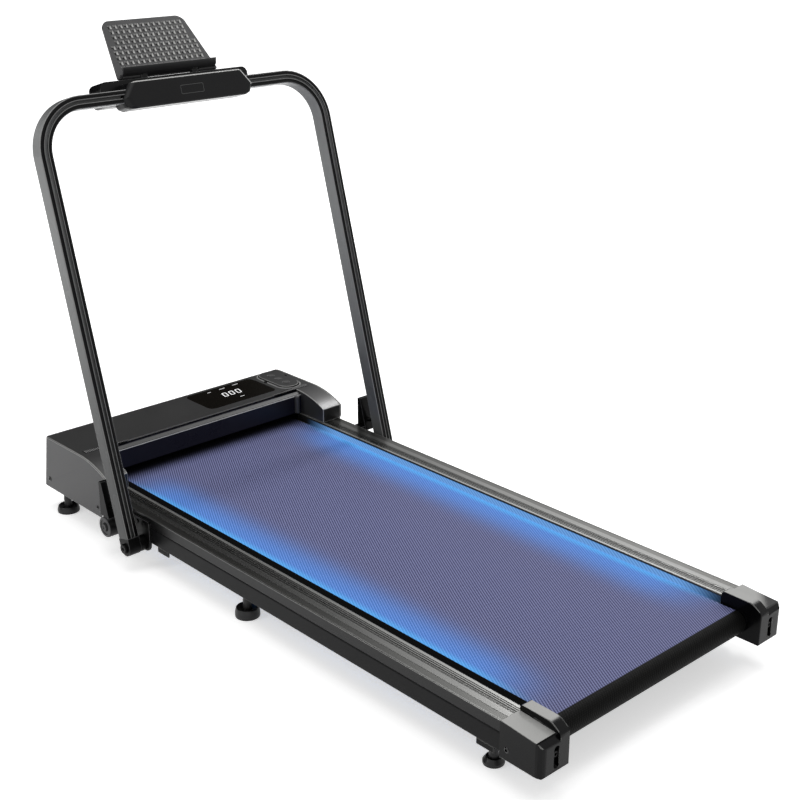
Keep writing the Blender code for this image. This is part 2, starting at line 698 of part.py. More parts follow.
def pulley_profile(radius, bore, low, high):
    """A ribbed pulley rim: four V grooves between two plain edges."""
    edge = 0.0009
    rib = (high - low - 2 * edge) / 4
    loop = [(bore, low), (radius, low), (radius, low + edge)]
    for i in range(4):
        start = low + edge + rib * i
        loop += [(radius - V_DEEP, start + rib / 2), (radius, start + rib)]
    return loop + [(radius, high), (bore, high)]


def drive():
    """Roller pulley, motor with its shaft, and the ribbed belt between them."""
    low, high = PULLEY_X
    big = piece("roller_pulley",
                turned("x", (0, FRONT_ROLLER_Y, ROLLER_Z),
                       pulley_profile(PULLEY_R, AXLE_R + GAP, low, high), 28), DARK_PLASTIC, 30)
    put(big, (0, FRONT_ROLLER_Y, ROLLER_Z))
    small = pulley_profile(MOTOR_PULLEY_R, 0, low, high)
    tip = MOTOR_X[0] + 0.020
    small = small[:-2] + [(MOTOR_PULLEY_R, high), (SHAFT_R, high), (SHAFT_R, tip), (0, tip)]
    shaft = piece("motor_shaft", turned("x", (0, MOTOR_Y, MOTOR_Z), small, 24), STEEL, 30)
    put(shaft, (0, MOTOR_Y, MOTOR_Z))
    room = GAP + DRIVE_BELT_THICK
    one, two = (FRONT_ROLLER_Y, ROLLER_Z), (MOTOR_Y, MOTOR_Z)
    inner = belt_loop((*one, PULLEY_R + GAP), (*two, MOTOR_PULLEY_R + GAP))
    outer = belt_loop((*one, PULLEY_R + room), (*two, MOTOR_PULLEY_R + room))
    belt = piece("drive_belt", plate("x", [outer, inner], *DRIVE_BELT_X), FOOT_RUBBER, 30)
    put(belt, (0, FRONT_ROLLER_Y, ROLLER_Z))
    case = piece("motor_case", rod("x", MOTOR_Y, MOTOR_Z, MOTOR_R, *MOTOR_X, 32), MOTOR_PAINT, 30)
    fuse(case, box((MOTOR_X[0] + 0.02, MOTOR_X[1] - 0.02), (MOTOR_Y - 0.018, MOTOR_Y + 0.018),
                   (FLOOR_TOP + GAP, MOTOR_Z - MOTOR_R + 0.004)),
         rod("x", MOTOR_Y, MOTOR_Z, 0.011, MOTOR_X[0] - 0.004, MOTOR_X[0] + 0.001, 20))
    cut(case, rod("x", MOTOR_Y, MOTOR_Z, SHAFT_R + GAP, MOTOR_X[0] - 0.01, tip + GAP, 20))
    put(case, (sum(MOTOR_X) / 2, MOTOR_Y, MOTOR_Z))


def running_belt():
    one, two = (REAR_ROLLER_Y, ROLLER_Z), (FRONT_ROLLER_Y, ROLLER_Z)
    outer = belt_loop((*one, BELT_OUT_R), (*two, BELT_OUT_R), 16)
    inner = belt_loop((*one, BELT_IN_R), (*two, BELT_IN_R), 16)
    belt = piece("running_belt", plate("x", [outer, inner], -BELT_HALF, BELT_HALF), BELT_RUBBER, 30)
    return put(belt, (0, 0, ROLLER_Z))


def deck():
    board = piece("deck_board", box((-DECK_HALF, DECK_HALF), (CAP_FRONT + 0.0006, DECK_FRONT),
                                    (DECK_LOW, DECK_TOP)), DECK_WOOD)
    put(board, (0, 0, DECK_LOW))
    for name, side in SIDES.items():
        strip = piece("deck_cushion_" + name, box(span(side, *CUSHION_X), CUSHION_Y,
                                                  (CUSHION_LOW, CUSHION_TOP)), CUSHION_RUBBER)
        put(strip, (side * sum(CUSHION_X) / 2, 0, CUSHION_LOW))


def axles():
    """Front axle between the tubes; rear axle in the slots, crossed by the belt bolts."""
    front = piece("front_axle", rod("x", FRONT_ROLLER_Y, ROLLER_Z, AXLE_R, -TUBE_IN + GAP,
                                    TUBE_IN - GAP, 20), STEEL, 40)
    put(front, (0, FRONT_ROLLER_Y, ROLLER_Z))
    reach = BOLT_X + 0.007
    rear = piece("rear_axle", rod("x", REAR_ROLLER_Y, ROLLER_Z, AXLE_R, -reach, reach, 20),
                 STEEL, 40)
    cut(rear, *[rod("y", side * BOLT_X, ROLLER_Z, BOLT_R + GAP, REAR_ROLLER_Y - 0.01,
                    REAR_ROLLER_Y + 0.01, 16) for side in SIDES.values()])
    put(rear, (0, REAR_ROLLER_Y, ROLLER_Z))


# Hood

HOOD_SLOPE = (HALF_LENGTH - HOOD_FRONT_TOP) / (HOOD_TOP - HOOD_LOW)
WALL_LEAN = atan2(HALF_LENGTH - HOOD_FRONT_TOP, HOOD_TOP - HOOD_LOW)


def front_y(z, inset=0.0):
    """Where the leaning front wall is at a height, drawn in by a wall thickness."""
    return HALF_LENGTH - HOOD_SLOPE * (z - HOOD_LOW) - inset / cos(WALL_LEAN)


def hood_plan(inset, front_inset=0.0):
    """Block whose front wall and rounded front corners lean like the hood, drawn in by an inset."""
    wide, front, back = SIDE_OUT - inset, HALF_LENGTH - front_inset, ARM_TIP - 0.050
    loop = fillet([(-wide, back), (wide, back), (wide, front), (-wide, front)],
                  [0, 0, HOOD_CORNER - inset, HOOD_CORNER - inset], 5)
    shear = Matrix.Identity(4)
    shear[1][2], shear[1][3] = -HOOD_SLOPE, HOOD_SLOPE * HOOD_LOW
    return moved(plate("z", [loop], HOOD_LOW - 0.020, HOOD_TOP + 0.010), shear)


def arm_arc(inset=0.0, steps=10):
    """Top line of the hood arm, from the hood's back edge down to the tip."""
    middle = HOOD_TOP - ARM_R
    radius = ARM_R - inset
    end = ARM_TIP + inset
    reach = HOOD_BACK - end
    last = atan2(reach, sqrt(radius ** 2 - reach ** 2))
    return [(HOOD_BACK - radius * sin(last * i / steps), middle + radius * cos(last * i / steps))
            for i in range(steps + 1)]


def hood_cover():
    """Top and front of the hood with two hollow arms that reach back over the rails."""
    arc = arm_arc()
    front = fillet([(HALF_LENGTH, HOOD_LOW), (HOOD_FRONT_TOP, HOOD_TOP), (HOOD_BACK, HOOD_TOP)],
                   [0.0, HOOD_ROUND, 0.0])
    loop = front[:-1] + arc + [(ARM_TIP, ARM_LOW), (HOOD_BACK, ARM_LOW), (HOOD_BACK, HOOD_LOW)]
    cover = piece("hood_cover", plate("x", [loop], -HOOD_OUT, HOOD_OUT), HOOD_PLASTIC, 35)
    combine(cover, [hood_plan(0.0)], "INTERSECT")
    cut(cover, box((-ARM_IN, ARM_IN), (ARM_TIP - 0.01, HOOD_BACK), (ARM_LOW - 0.01, HOOD_TOP + 0.01)))
    ceiling = HOOD_TOP - HOOD_WALL
    below = HOOD_LOW - 0.01
    inside = HOOD_OUT - HOOD_SIDE_WALL
    cavity = plate("x", [[(HALF_LENGTH + 0.010, below), (HALF_LENGTH + 0.010, ceiling),
                          (HOOD_BACK - 0.001, ceiling), (HOOD_BACK - 0.001, below)]], -inside, inside)
    cut(cover, shared(cavity, hood_plan(SIDE_OUT - inside, HOOD_WALL / cos(WALL_LEAN))))
    hollow = [(HOOD_BACK + 0.004, ceiling)] + arm_arc(HOOD_WALL)
    hollow += [(ARM_TIP + HOOD_WALL, ARM_LOW - 0.005), (HOOD_BACK + 0.004, ARM_LOW - 0.005)]
    cut(cover, *[plate("x", [hollow], *span(side, ARM_IN + HOOD_WALL, inside))
                 for side in SIDES.values()])
    holes = [rod("x", *SIDE_SCREWS[0], BOSS_R + GAP, *span(side, inside - 0.002, HOOD_OUT + 0.002), 20)
             for side in SIDES.values()]
    cut(cover, *holes)
    window = rectangle((WINDOW_X[0] - GAP, WINDOW_X[1] + GAP), (WINDOW_Y[0] - GAP, WINDOW_Y[1] + GAP),
                       WINDOW_ROUND + GAP)
    opening = rectangle((WINDOW_X[0] + WINDOW_LEDGE, WINDOW_X[1] - WINDOW_LEDGE),
                        (WINDOW_Y[0] + WINDOW_LEDGE, WINDOW_Y[1] - WINDOW_LEDGE),
                        WINDOW_ROUND - WINDOW_LEDGE)
    dock = pill(REMOTE_WIDE / 2 + DOCK_ROOM + DOCK_WALL + GAP)
    cut(cover, plate("z", [window], HOOD_TOP - WINDOW_THICK - GAP, HOOD_TOP + 0.005),
        plate("z", [dock], ceiling - 0.005, HOOD_TOP + 0.005))
    cut(cover, plate("z", [opening], ceiling - 0.005, HOOD_TOP))
    cut(cover, moved(box((-INLET_BODY[0] - GAP, INLET_BODY[0] + GAP),
                         (-INLET_BODY[1] - GAP, INLET_BODY[1] + GAP), (-0.01, 0.01)), INLET_FRAME))
    return put(cover, (0, HOOD_BACK, HOOD_TOP))


def pill(half):
    """Plan loop of the remote's outline, grown to a half width."""
    flat = (REMOTE_LONG - REMOTE_WIDE) / 2
    far = REMOTE_Y + flat
    near = REMOTE_Y - flat
    loop = [(REMOTE_X + half * cos(pi * i / 12), far + half * sin(pi * i / 12)) for i in range(13)]
    loop += [(REMOTE_X - half * cos(pi * i / 12), near - half * sin(pi * i / 12)) for i in range(13)]
    return loop


INLET_FRAME = Matrix.Translation(Vector((INLET_X, front_y(INLET_Z), INLET_Z)))
INLET_FRAME = INLET_FRAME @ Matrix((
    (-1, 0, 0, 0),
    (0, -sin(WALL_LEAN), cos(WALL_LEAN), 0),
    (0, cos(WALL_LEAN), sin(WALL_LEAN), 0),
    (0, 0, 0, 1)))


def hood_side(name, side):
    """Side panel that follows the hood and the arm, with two screw bosses inside."""
    front = fillet([(front_y(SIDE_LOW) - 0.0005, SIDE_LOW), (HOOD_FRONT_TOP, HOOD_TOP),
                    (HOOD_BACK, HOOD_TOP)], [0.0, HOOD_ROUND, 0.0])
    loop = front[:-1] + arm_arc() + [(ARM_TIP, FASCIA_LOW), (ARM_TIP + 0.0235, SIDE_LOW)]
    panel = piece("hood_side_" + name, plate("x", [loop], *span(side, SIDE_IN, SIDE_OUT)),
                  SIDE_PLASTIC, 35)
    combine(panel, [hood_plan(0.0)], "INTERSECT")
    fuse(panel, *[rod("x", y, z, BOSS_R, *span(side, TUBE_OUT + GAP, SIDE_IN + 0.001), 20)
                  for y, z in SIDE_SCREWS])
    cut(panel, *[rod("x", y, z, 0.0036, *span(side, SIDE_OUT - 0.0012, SIDE_OUT + 0.002), 16)
                 for y, z in SIDE_SCREWS])
    return put(panel, (side * SIDE_IN, HOOD_BACK, HOOD_TOP))


def hood_fascia():
    """Lip behind the hood top and the wall that leans in above the belt."""
    tuck = HOOD_TOP - HOOD_WALL - GAP
    lip_top = HOOD_TOP - 0.0025
    loop = [(HOOD_BACK + 0.0055, tuck), (HOOD_BACK - 0.0035, tuck), (HOOD_BACK - 0.0035, lip_top),
            (HOOD_BACK - 0.027, lip_top - 0.005), (HOOD_BACK - 0.027, lip_top - 0.007),
            (HOOD_BACK - 0.017, FASCIA_LOW), (HOOD_BACK - 0.0148, FASCIA_LOW),
            (HOOD_BACK - 0.0242, lip_top - 0.0079), (HOOD_BACK - 0.0035, tuck - 0.0022),
            (HOOD_BACK + 0.0055, tuck - 0.0022)]
    fascia = piece("hood_fascia", plate("x", [loop], -FASCIA_HALF, FASCIA_HALF), FASCIA_PLASTIC)
    return put(fascia, (0, HOOD_BACK, HOOD_TOP))


def hood_floor():
    floor = piece("hood_floor", box((-FLOOR_HALF, FLOOR_HALF),
                                    (FLOOR_BACK, front_y(FLOOR_TOP, HOOD_WALL) - GAP),
                                    (FLOOR_LOW, FLOOR_TOP)), BLACK_STEEL)
    return put(floor, (0, FLOOR_BACK, FLOOR_LOW))


def electronics():
    """Display window and board, and the control board on the hood floor."""
    window = piece("display_window",
                   plate("z", [rectangle(WINDOW_X, WINDOW_Y, WINDOW_ROUND, 5)],
                         HOOD_TOP - WINDOW_THICK, HOOD_TOP), GLOSS_BLACK)
    put(window, (sum(WINDOW_X) / 2, sum(WINDOW_Y) / 2, HOOD_TOP))
    under = HOOD_TOP - HOOD_WALL - GAP
    board = piece("display_board", box((WINDOW_X[0] - 0.003, WINDOW_X[1] + 0.003),
                                       (WINDOW_Y[0] - 0.003, WINDOW_Y[1] + 0.003),
                                       (under - 0.0016, under)), BOARD_GREEN)
    x, y = WINDOW_X[0], WINDOW_Y[0]
    fuse(board, box((x + 0.048, x + 0.098), (y + 0.028, y + 0.056),
                    (under - 0.001, HOOD_TOP - WINDOW_THICK - 2 * GAP)),
         box((x + 0.013, x + 0.035), (y + 0.015, y + 0.027), (under - 0.006, under - 0.001)))
    put(board, (sum(WINDOW_X) / 2, sum(WINDOW_Y) / 2, under))
    seat = FLOOR_TOP + GAP
    x, y = CONTROL_X[0], CONTROL_Y[0]
    control = piece("control_board", box(CONTROL_X, CONTROL_Y, (seat, seat + 0.0016)), BOARD_GREEN)
    fuse(control, box((x + 0.010, x + 0.065), (y + 0.007, y + 0.016), (seat + 0.001, seat + 0.030)),
         rod("z", x + 0.030, y + 0.036, 0.009, seat + 0.001, seat + 0.034, 20),
         rod("z", x + 0.053, y + 0.036, 0.009, seat + 0.001, seat + 0.034, 20),
         box((x + 0.078, x + 0.110), (y + 0.005, y + 0.025), (seat + 0.001, seat + 0.018)))
    put(control, (sum(CONTROL_X) / 2, sum(CONTROL_Y) / 2, seat))


def remote():
    """Remote with three keys, and the cup in the hood that it lies in."""
    floor = HOOD_TOP - DOCK_DEEP
    room = REMOTE_WIDE / 2 + DOCK_ROOM
    dock = piece("remote_dock", plate("z", [pill(room + DOCK_WALL)], floor - DOCK_WALL,
                                      HOOD_TOP + 0.0006), DARK_PLASTIC, 35)
    cut(dock, plate("z", [pill(room)], floor, HOOD_TOP + 0.01))
    put(dock, (REMOTE_X, REMOTE_Y, floor))
    seat = floor + GAP
    top = seat + REMOTE_TALL
    case = piece("remote_case", plate("z", [pill(REMOTE_WIDE / 2)], seat, top), HOOD_PLASTIC, 35)
    step = case.modifiers.new("soft_edge", "BEVEL")
    step.width = 0.0018
    step.segments = 2
    step.limit_method = "ANGLE"
    step.angle_limit = radians(60)
    keys = {"remote_key_faster": KEY_STEP, "remote_key_start": 0.0, "remote_key_slower": -KEY_STEP}
    well = top - KEY_TALL + 0.0006 - 0.0009
    cut(case, *[rod("z", REMOTE_X, REMOTE_Y + y, KEY_R + GAP, well, top + 0.01, 24)
                for y in keys.values()])
    put(case, (REMOTE_X, REMOTE_Y, seat))
    for name, y in keys.items():
        key = piece(name, rod("z", REMOTE_X, REMOTE_Y + y, KEY_R, well + 0.0009,
                              well + 0.0009 + KEY_TALL, 24), KEY_PLASTIC, 35)
        put(key, (REMOTE_X, REMOTE_Y + y, well + 0.0009))


def inlet():
    """Mains socket and rocker switch in the front wall, built in the wall's frame."""
    half_x, half_u = INLET_BODY
    module = piece("inlet_module", moved(box((-half_x, half_x), (-half_u, half_u),
                                             (-INLET_DEEP, 0.001)), INLET_FRAME), DARK_PLASTIC)
    flange = plate("z", [rectangle((-INLET_FLANGE[0], INLET_FLANGE[0]),
                                   (-INLET_FLANGE[1], INLET_FLANGE[1]), 0.003)],
                   GAP, GAP + FLANGE_THICK)
    fuse(module, moved(flange, INLET_FRAME))
    socket = fillet([(SOCKET_X - SOCKET_HALF[0], -SOCKET_HALF[1]),
                     (SOCKET_X + SOCKET_HALF[0], -SOCKET_HALF[1]),
                     (SOCKET_X + SOCKET_HALF[0], SOCKET_HALF[1]),
                     (SOCKET_X - SOCKET_HALF[0], SOCKET_HALF[1])], [0.001, 0.001, 0.004, 0.004])
    face = GAP + FLANGE_THICK
    well = box((SWITCH_X - SWITCH_HALF[0], SWITCH_X + SWITCH_HALF[0]),
               (-SWITCH_HALF[1], SWITCH_HALF[1]), (-0.0115, face + 0.002))
    cut(module, moved(plate("z", [socket], -0.0125, face + 0.002), INLET_FRAME),
        moved(well, INLET_FRAME))
    pins = [box((SOCKET_X + x - 0.001, SOCKET_X + x + 0.001), (y - 0.002, y + 0.002), (-0.013, -0.0065))
            for x, y in ((-0.007, -0.0015), (0.0, 0.0015), (0.007, -0.0015))]
    fuse(module, *[moved(pin, INLET_FRAME) for pin in pins])
    put(module, INLET_FRAME.translation)
    return rocker()


def rocker():
    """Rocker key: a V front and a round back about its own axis, built in the off tilt."""
    radius = 0.0084
    back = [(radius * cos(pi + pi * i / 12), radius * sin(pi + pi * i / 12)) for i in range(13)]
    loop = [(a, b) for a, b in back] + [(0.0080, 0.0028), (0.0, 0.0012), (-0.0080, 0.0028)]
    turn = [(a * cos(ROCK) - b * sin(ROCK), a * sin(ROCK) + b * cos(ROCK)) for a, b in loop]
    wide = SWITCH_HALF[0] - GAP
    mesh = plate("x", [turn], -wide, wide)
    mesh.transform(INLET_FRAME @ Matrix.Translation((SWITCH_X, 0, 0)))
    key = piece("power_switch", mesh, GLOSS_BLACK, 30)
    return put(key, INLET_FRAME @ Vector((SWITCH_X, 0, 0)))


# Handlebar, its brackets and the console

def in_bar_frame(target):
    """Place a piece that was built upright about the pivot."""
    return put(target, PIVOT, LEAN, (0, 0, 0))


def bar_path(start):
    """Centre line of the U, in (x, z) from the left post foot to the right one."""
    bend = [(pi - pi / 2 * i / 8) for i in range(9)]
    left = [(-POST_X + BEND_R + BEND_R * cos(a), BAR_Z - BEND_R + BEND_R * sin(a)) for a in bend]
    right = [(-x, z) for x, z in reversed(left)]
    return [(-POST_X, start)] + left + right + [(POST_X, start)]


def bar_profile():
    """Outer loop of the post: a slot and two fine grooves on the user's side."""
    half, deep = POST_WIDE / 2, POST_DEEP / 2
    edge = fillet([(half, deep), (half, -deep), (-half, -deep), (-half, deep)], POST_ROUND, 3)
    groove = [(0.0064, deep), (0.0064, deep - 0.0008), (0.0056, deep - 0.0008), (0.0056, deep)]
    slot = [(SLOT_HALF, deep), (SLOT_HALF, deep - SLOT_DEEP)]
    right = groove + slot
    left = [(-a, b) for a, b in right]
    return edge + left + list(reversed(right))


def swept(path, profile):
    """A closed profile carried along a flat path, with its ends capped."""
    shape = bpy.data.curves.new("profile", "CURVE")
    shape.dimensions = "2D"
    add_loop(shape, profile)
    holder = bpy.data.objects.new("profile", shape)
    scene.collection.objects.link(holder)
    curve = bpy.data.curves.new("path", "CURVE")
    curve.dimensions = "2D"
    curve.bevel_mode = "OBJECT"
    curve.bevel_object = holder
    curve.use_fill_caps = True
    curve.fill_mode = "BOTH"
    add_loop(curve, path, closed=False)
    mesh = curve_mesh(curve)
    bpy.data.objects.remove(holder, do_unlink=True)
    mesh.transform(FACING["y"])
    return mesh


def handlebar_frame():
    frame = piece("handlebar_frame", swept(bar_path(POST_START), bar_profile()), POST_METAL, 35)
    hollow = rectangle((-HOLLOW_HALF, HOLLOW_HALF), (-HOLLOW_FRONT, HOLLOW_BACK))
    cut(frame, swept(bar_path(POST_START - 0.01), hollow))
    return in_bar_frame(frame)


def post_foot(name, side):
    """Round-ended foot of the post, with a tongue that goes up inside it."""
    half = POST_DEEP / 2
    top = POST_START - GAP
    loop = [(half * cos(pi + pi * i / 12), half * sin(pi + pi * i / 12)) for i in range(13)]
    loop += [(half, top), (-half, top)]
    foot = piece("post_foot_" + name, plate("x", [loop], *span(side, POST_IN, POST_OUT)),
                 BLACK_STEEL, 35)
    inner = HOLLOW_HALF - GAP
    fuse(foot, box(span(side, POST_X - inner, POST_X + inner),
                   (-HOLLOW_BACK + GAP, HOLLOW_FRONT - GAP), (top - 0.002, TONGUE_TOP)))
    cut(foot, rod("x", 0, 0, PIN_R + GAP, *span(side, POST_IN - 0.005, POST_OUT + 0.005), 20))
    return in_bar_frame(foot)


def pivot_bolt(name, side):
    """Bolt with a round head and a hexagon socket, along x through the post foot."""
    inner = PLATE_IN + BRACKET_THICK + GAP
    seat = POST_OUT + GAP
    profile = [(0, inner), (PIN_R, inner), (PIN_R, seat), (PIN_HEAD_R, seat),
               (PIN_HEAD_R, seat + PIN_HEAD - 0.001), (PIN_HEAD_R - 0.001, seat + PIN_HEAD),
               (0, seat + PIN_HEAD)]
    profile = [(radius, side * x) for radius, x in profile]
    bolt = piece("pivot_bolt_" + name, turned("x", (0, PIVOT.y, PIVOT.z), profile, 20),
                 BLACK_STEEL, 40)
    cut(bolt, rod("x", PIVOT.y, PIVOT.z, 0.003, *span(side, seat + PIN_HEAD - 0.0025,
                                                      seat + PIN_HEAD + 0.001), 6))
    return put(bolt, (side * seat, PIVOT.y, PIVOT.z))


def hinge_bracket(name, side):
    (y0, y1), (z0, z1) = BRACKET_Y, BRACKET_Z
    outer = PLATE_IN + BRACKET_THICK
    loop = fillet([(y0, z0), (y1, z0), (y1, z1), (y0, z1)],
                  [BRACKET_ROUND, BRACKET_ROUND, 0.002, 0.002])
    plate_mesh = plate("x", [loop], *span(side, PLATE_IN, outer))
    bracket = piece("hinge_bracket_" + name, plate_mesh, BLACK_STEEL, 35)
    fuse(bracket, rod("x", PIVOT.y, PIVOT.z, BRACKET_BOSS_R, *span(side, outer - 0.001, POST_IN - GAP)),
         *[rod("x", y, z, 0.0038, *span(side, outer - 0.001, outer + 0.0018), 16)
           for y, z in BRACKET_SCREWS])
    cut(bracket, rod("x", PIVOT.y, PIVOT.z, PIN_R + GAP, *span(side, outer, POST_IN + 0.005), 20))
    return put(bracket, (side * PLATE_IN, PIVOT.y, PIVOT.z))


def leaned(y, z):
    """A point of the handlebar frame in world (y, z)."""
    return (PIVOT.y + y * cos(LEAN) + z * sin(LEAN), PIVOT.z - y * sin(LEAN) + z * cos(LEAN))


def stop_bracket(name, side):
    """Cheek on the tube with an arm, a folded wedge in front of the post, a bumper that the
    post leans on, and the axle of the transport wheel."""
    outer = PLATE_IN + CHEEK_THICK
    high = (STOP_TOP - PIVOT.z + STOP_BACK * sin(LEAN)) / cos(LEAN)
    low = (STOP_LOW - PIVOT.z + STOP_BACK * sin(LEAN)) / cos(LEAN)
    top, foot = leaned(STOP_BACK, high), leaned(STOP_BACK, low)
    cheek = rectangle(CHEEK_Y, CHEEK_Z, 0.003, 3)
    bracket = piece("stop_bracket_" + name, plate("x", [cheek], *span(side, PLATE_IN, outer)),
                    BLACK_STEEL, 35)
    wedge = [foot, (STOP_FRONT_Y, STOP_LOW), (STOP_FRONT_Y, STOP_TOP), top]
    fuse(bracket, plate("x", [wedge], *span(side, POST_IN, POST_OUT)))
    fuse(bracket, box(span(side, outer - 0.001, POST_OUT - 0.003),
                      (foot[0] + 0.003, STOP_FRONT_Y - 0.001), (STOP_LOW - 0.002, CHEEK_Z[1] - 0.001)))
    room = STOP_SHEET
    inner = [leaned(STOP_BACK + room, low + 0.013), (STOP_FRONT_Y + 0.005, CHEEK_Z[1] + room),
             (STOP_FRONT_Y + 0.005, STOP_TOP - room), leaned(STOP_BACK + room, high - room)]
    cut(bracket, plate("x", [inner], *span(side, POST_IN + room, POST_OUT - room)))
    start = POST_DEEP / 2 + GAP
    bumper = rod("y", 0, 0, BUMPER_R, start, STOP_BACK + 0.001, 16)
    lean = Matrix.Translation(PIVOT) @ Matrix.Rotation(-LEAN, 4, "X")
    fuse(bracket, moved(bumper, lean @ Matrix.Translation((side * POST_X, 0, BUMPER_UP))))
    fuse(bracket, rod("x", WHEEL_Y, WHEEL_Z, 0.006, *span(side, outer - 0.001, outer + 0.0029), 20))
    fuse(bracket, rod("x", WHEEL_Y, WHEEL_Z, WHEEL_PIN_R, *span(side, outer, WHEEL_OUT - 0.0022), 20))
    return put(bracket, (side * PLATE_IN, WHEEL_Y, WHEEL_Z))


def transport_wheel(name, side):
    """Small wheel with a domed hub; its bore is blind and holds the stub axle."""
    inner = PLATE_IN + CHEEK_THICK + 0.0029 + GAP
    bore = WHEEL_PIN_R + GAP
    deep = WHEEL_OUT - 0.0022 + GAP
    profile = [(bore, inner), (WHEEL_R - 0.002, inner), (WHEEL_R, inner + 0.002),
               (WHEEL_R, WHEEL_OUT - 0.004), (WHEEL_R - 0.002, WHEEL_OUT - 0.002),
               (0.0125, WHEEL_OUT - 0.002), (0.0115, WHEEL_OUT - 0.0035), (0.008, WHEEL_OUT - 0.0035),
               (0.0065, WHEEL_OUT), (0, WHEEL_OUT), (0, deep), (bore, deep)]
    profile = [(radius, side * x) for radius, x in profile]
    wheel = piece("transport_wheel_" + name, turned("x", (0, WHEEL_Y, WHEEL_Z), profile, 28),
                  WHEEL_PLASTIC, 40)
    return put(wheel, (side * (inner + WHEEL_OUT) / 2, WHEEL_Y, WHEEL_Z))


def rim(grow=0.0):
    """Loop of the rear shell in (x, z), the same on both sides."""
    right = [(x + grow, BAR_Z + z) for x, z in SHELL_RIM]
    left = [(-x, z) for x, z in reversed(right)]
    return right + left


def console():
    """Two shells clamped round the crossbar; the front one carries the holder's lugs."""
    room = POST_WIDE / 2 + GAP
    half = POST_DEEP / 2 + GAP
    channel = (BAR_Z - room, BAR_Z + room)
    wide = (-POST_OUT, POST_OUT)
    rear = piece("console_rear_shell", plate("y", [rim()], -REAR_SHELL, 0), DARK_PLASTIC)
    step = rear.modifiers.new("soft_edge", "BEVEL")
    step.width = 0.002
    step.segments = 2
    step.limit_method = "ANGLE"
    step.angle_limit = radians(60)
    cut(rear, box(wide, (-half, 0.005), channel))
    in_bar_frame(rear)
    block = fillet([(-FRONT_HALF, BAR_Z + FRONT_Z[0]), (FRONT_HALF, BAR_Z + FRONT_Z[0]),
                    (FRONT_HALF, BAR_Z + FRONT_Z[1]), (-FRONT_HALF, BAR_Z + FRONT_Z[1])],
                   FRONT_ROUND, 5)
    front = piece("console_front_shell", plate("y", [block], half + GAP, FRONT_FAR),
                  DARK_PLASTIC, 35)
    fuse(front, plate("y", [rim(-0.002)], GAP, half + 0.005))
    cut(front, box(wide, (-0.005, half), channel))
    floor = BAR_Z + FRONT_Z[0] + 0.0035
    cut(front, box((-SHELL_HOLLOW, SHELL_HOLLOW), (half - 0.002, half + 0.007),
                   (floor, BAR_Z + room - 0.001)))
    cut(front, box((-SHELL_HOLLOW, SHELL_HOLLOW), (half + 0.0055, FRONT_FAR - 0.004),
                   (floor, BAR_Z + FRONT_Z[1] - 0.004)))
    axis_z = BAR_Z + HINGE_Z
    lug = [(HINGE_Y + LUG_R * cos(pi * i / 10), axis_z + LUG_R * sin(pi * i / 10)) for i in range(11)]
    lug += [(HINGE_Y - LUG_R, BAR_Z + FRONT_Z[1] - 0.003), (HINGE_Y + LUG_R, BAR_Z + FRONT_Z[1] - 0.003)]
    fuse(front, *[plate("x", [lug], *span(side, *LUG_X)) for side in SIDES.values()])
    cut(front, *[rod("x", HINGE_Y, axis_z, TRUNNION_R + GAP, *span(side, LUG_X[0] - 0.002,
                                                                  LUG_X[1] + 0.002), 16)
                 for side in SIDES.values()])
    return in_bar_frame(front)


def dimple(x, along, face):
    """Blind pocket of the tablet panel, with sloping walls, as a cutter."""
    loops = [(DIMPLE, face + 0.001), (DIMPLE, face), (DIMPLE_FLOOR, face - DIMPLE_DEEP)]
    work = bmesh.new()
    rings = []
    for wide, out in loops:
        half = wide / 2
        corners = [(x - half, along - half), (x + half, along - half), (x + half, along + half),
                   (x - half, along + half)]
        rings.append([work.verts.new((a, b, out)) for a, b in corners])
    for upper, lower in zip(rings, rings[1:]):
        for i in range(4):
            work.faces.new((upper[i - 1], upper[i], lower[i], lower[i - 1]))
    work.faces.new(rings[0])
    work.faces.new(rings[-1])
    bmesh.ops.recalc_face_normals(work, faces=work.faces)
    mesh = bpy.data.meshes.new("dimple")
    work.to_mesh(mesh)
    work.free()
    return mesh


def dimple_places():
    """Places (x, along) of the pockets: one square lattice, stopped before the slanting edges."""
    places = []
    for row in range(DIMPLE_ROWS):
        along = DIMPLE_START + DIMPLE_PITCH[1] * row
        share = (along - HOLDER_FOOT) / HOLDER_LONG
        edge = HOLDER_LOW_HALF + (HOLDER_TOP_HALF - HOLDER_LOW_HALF) * share - DIMPLE_EDGE
        columns = int((edge - DIMPLE / 2) / DIMPLE_PITCH[0] + 0.5)
        for column in range(-columns, columns):
            places.append(((column + 0.5) * DIMPLE_PITCH[0], along))
    return places


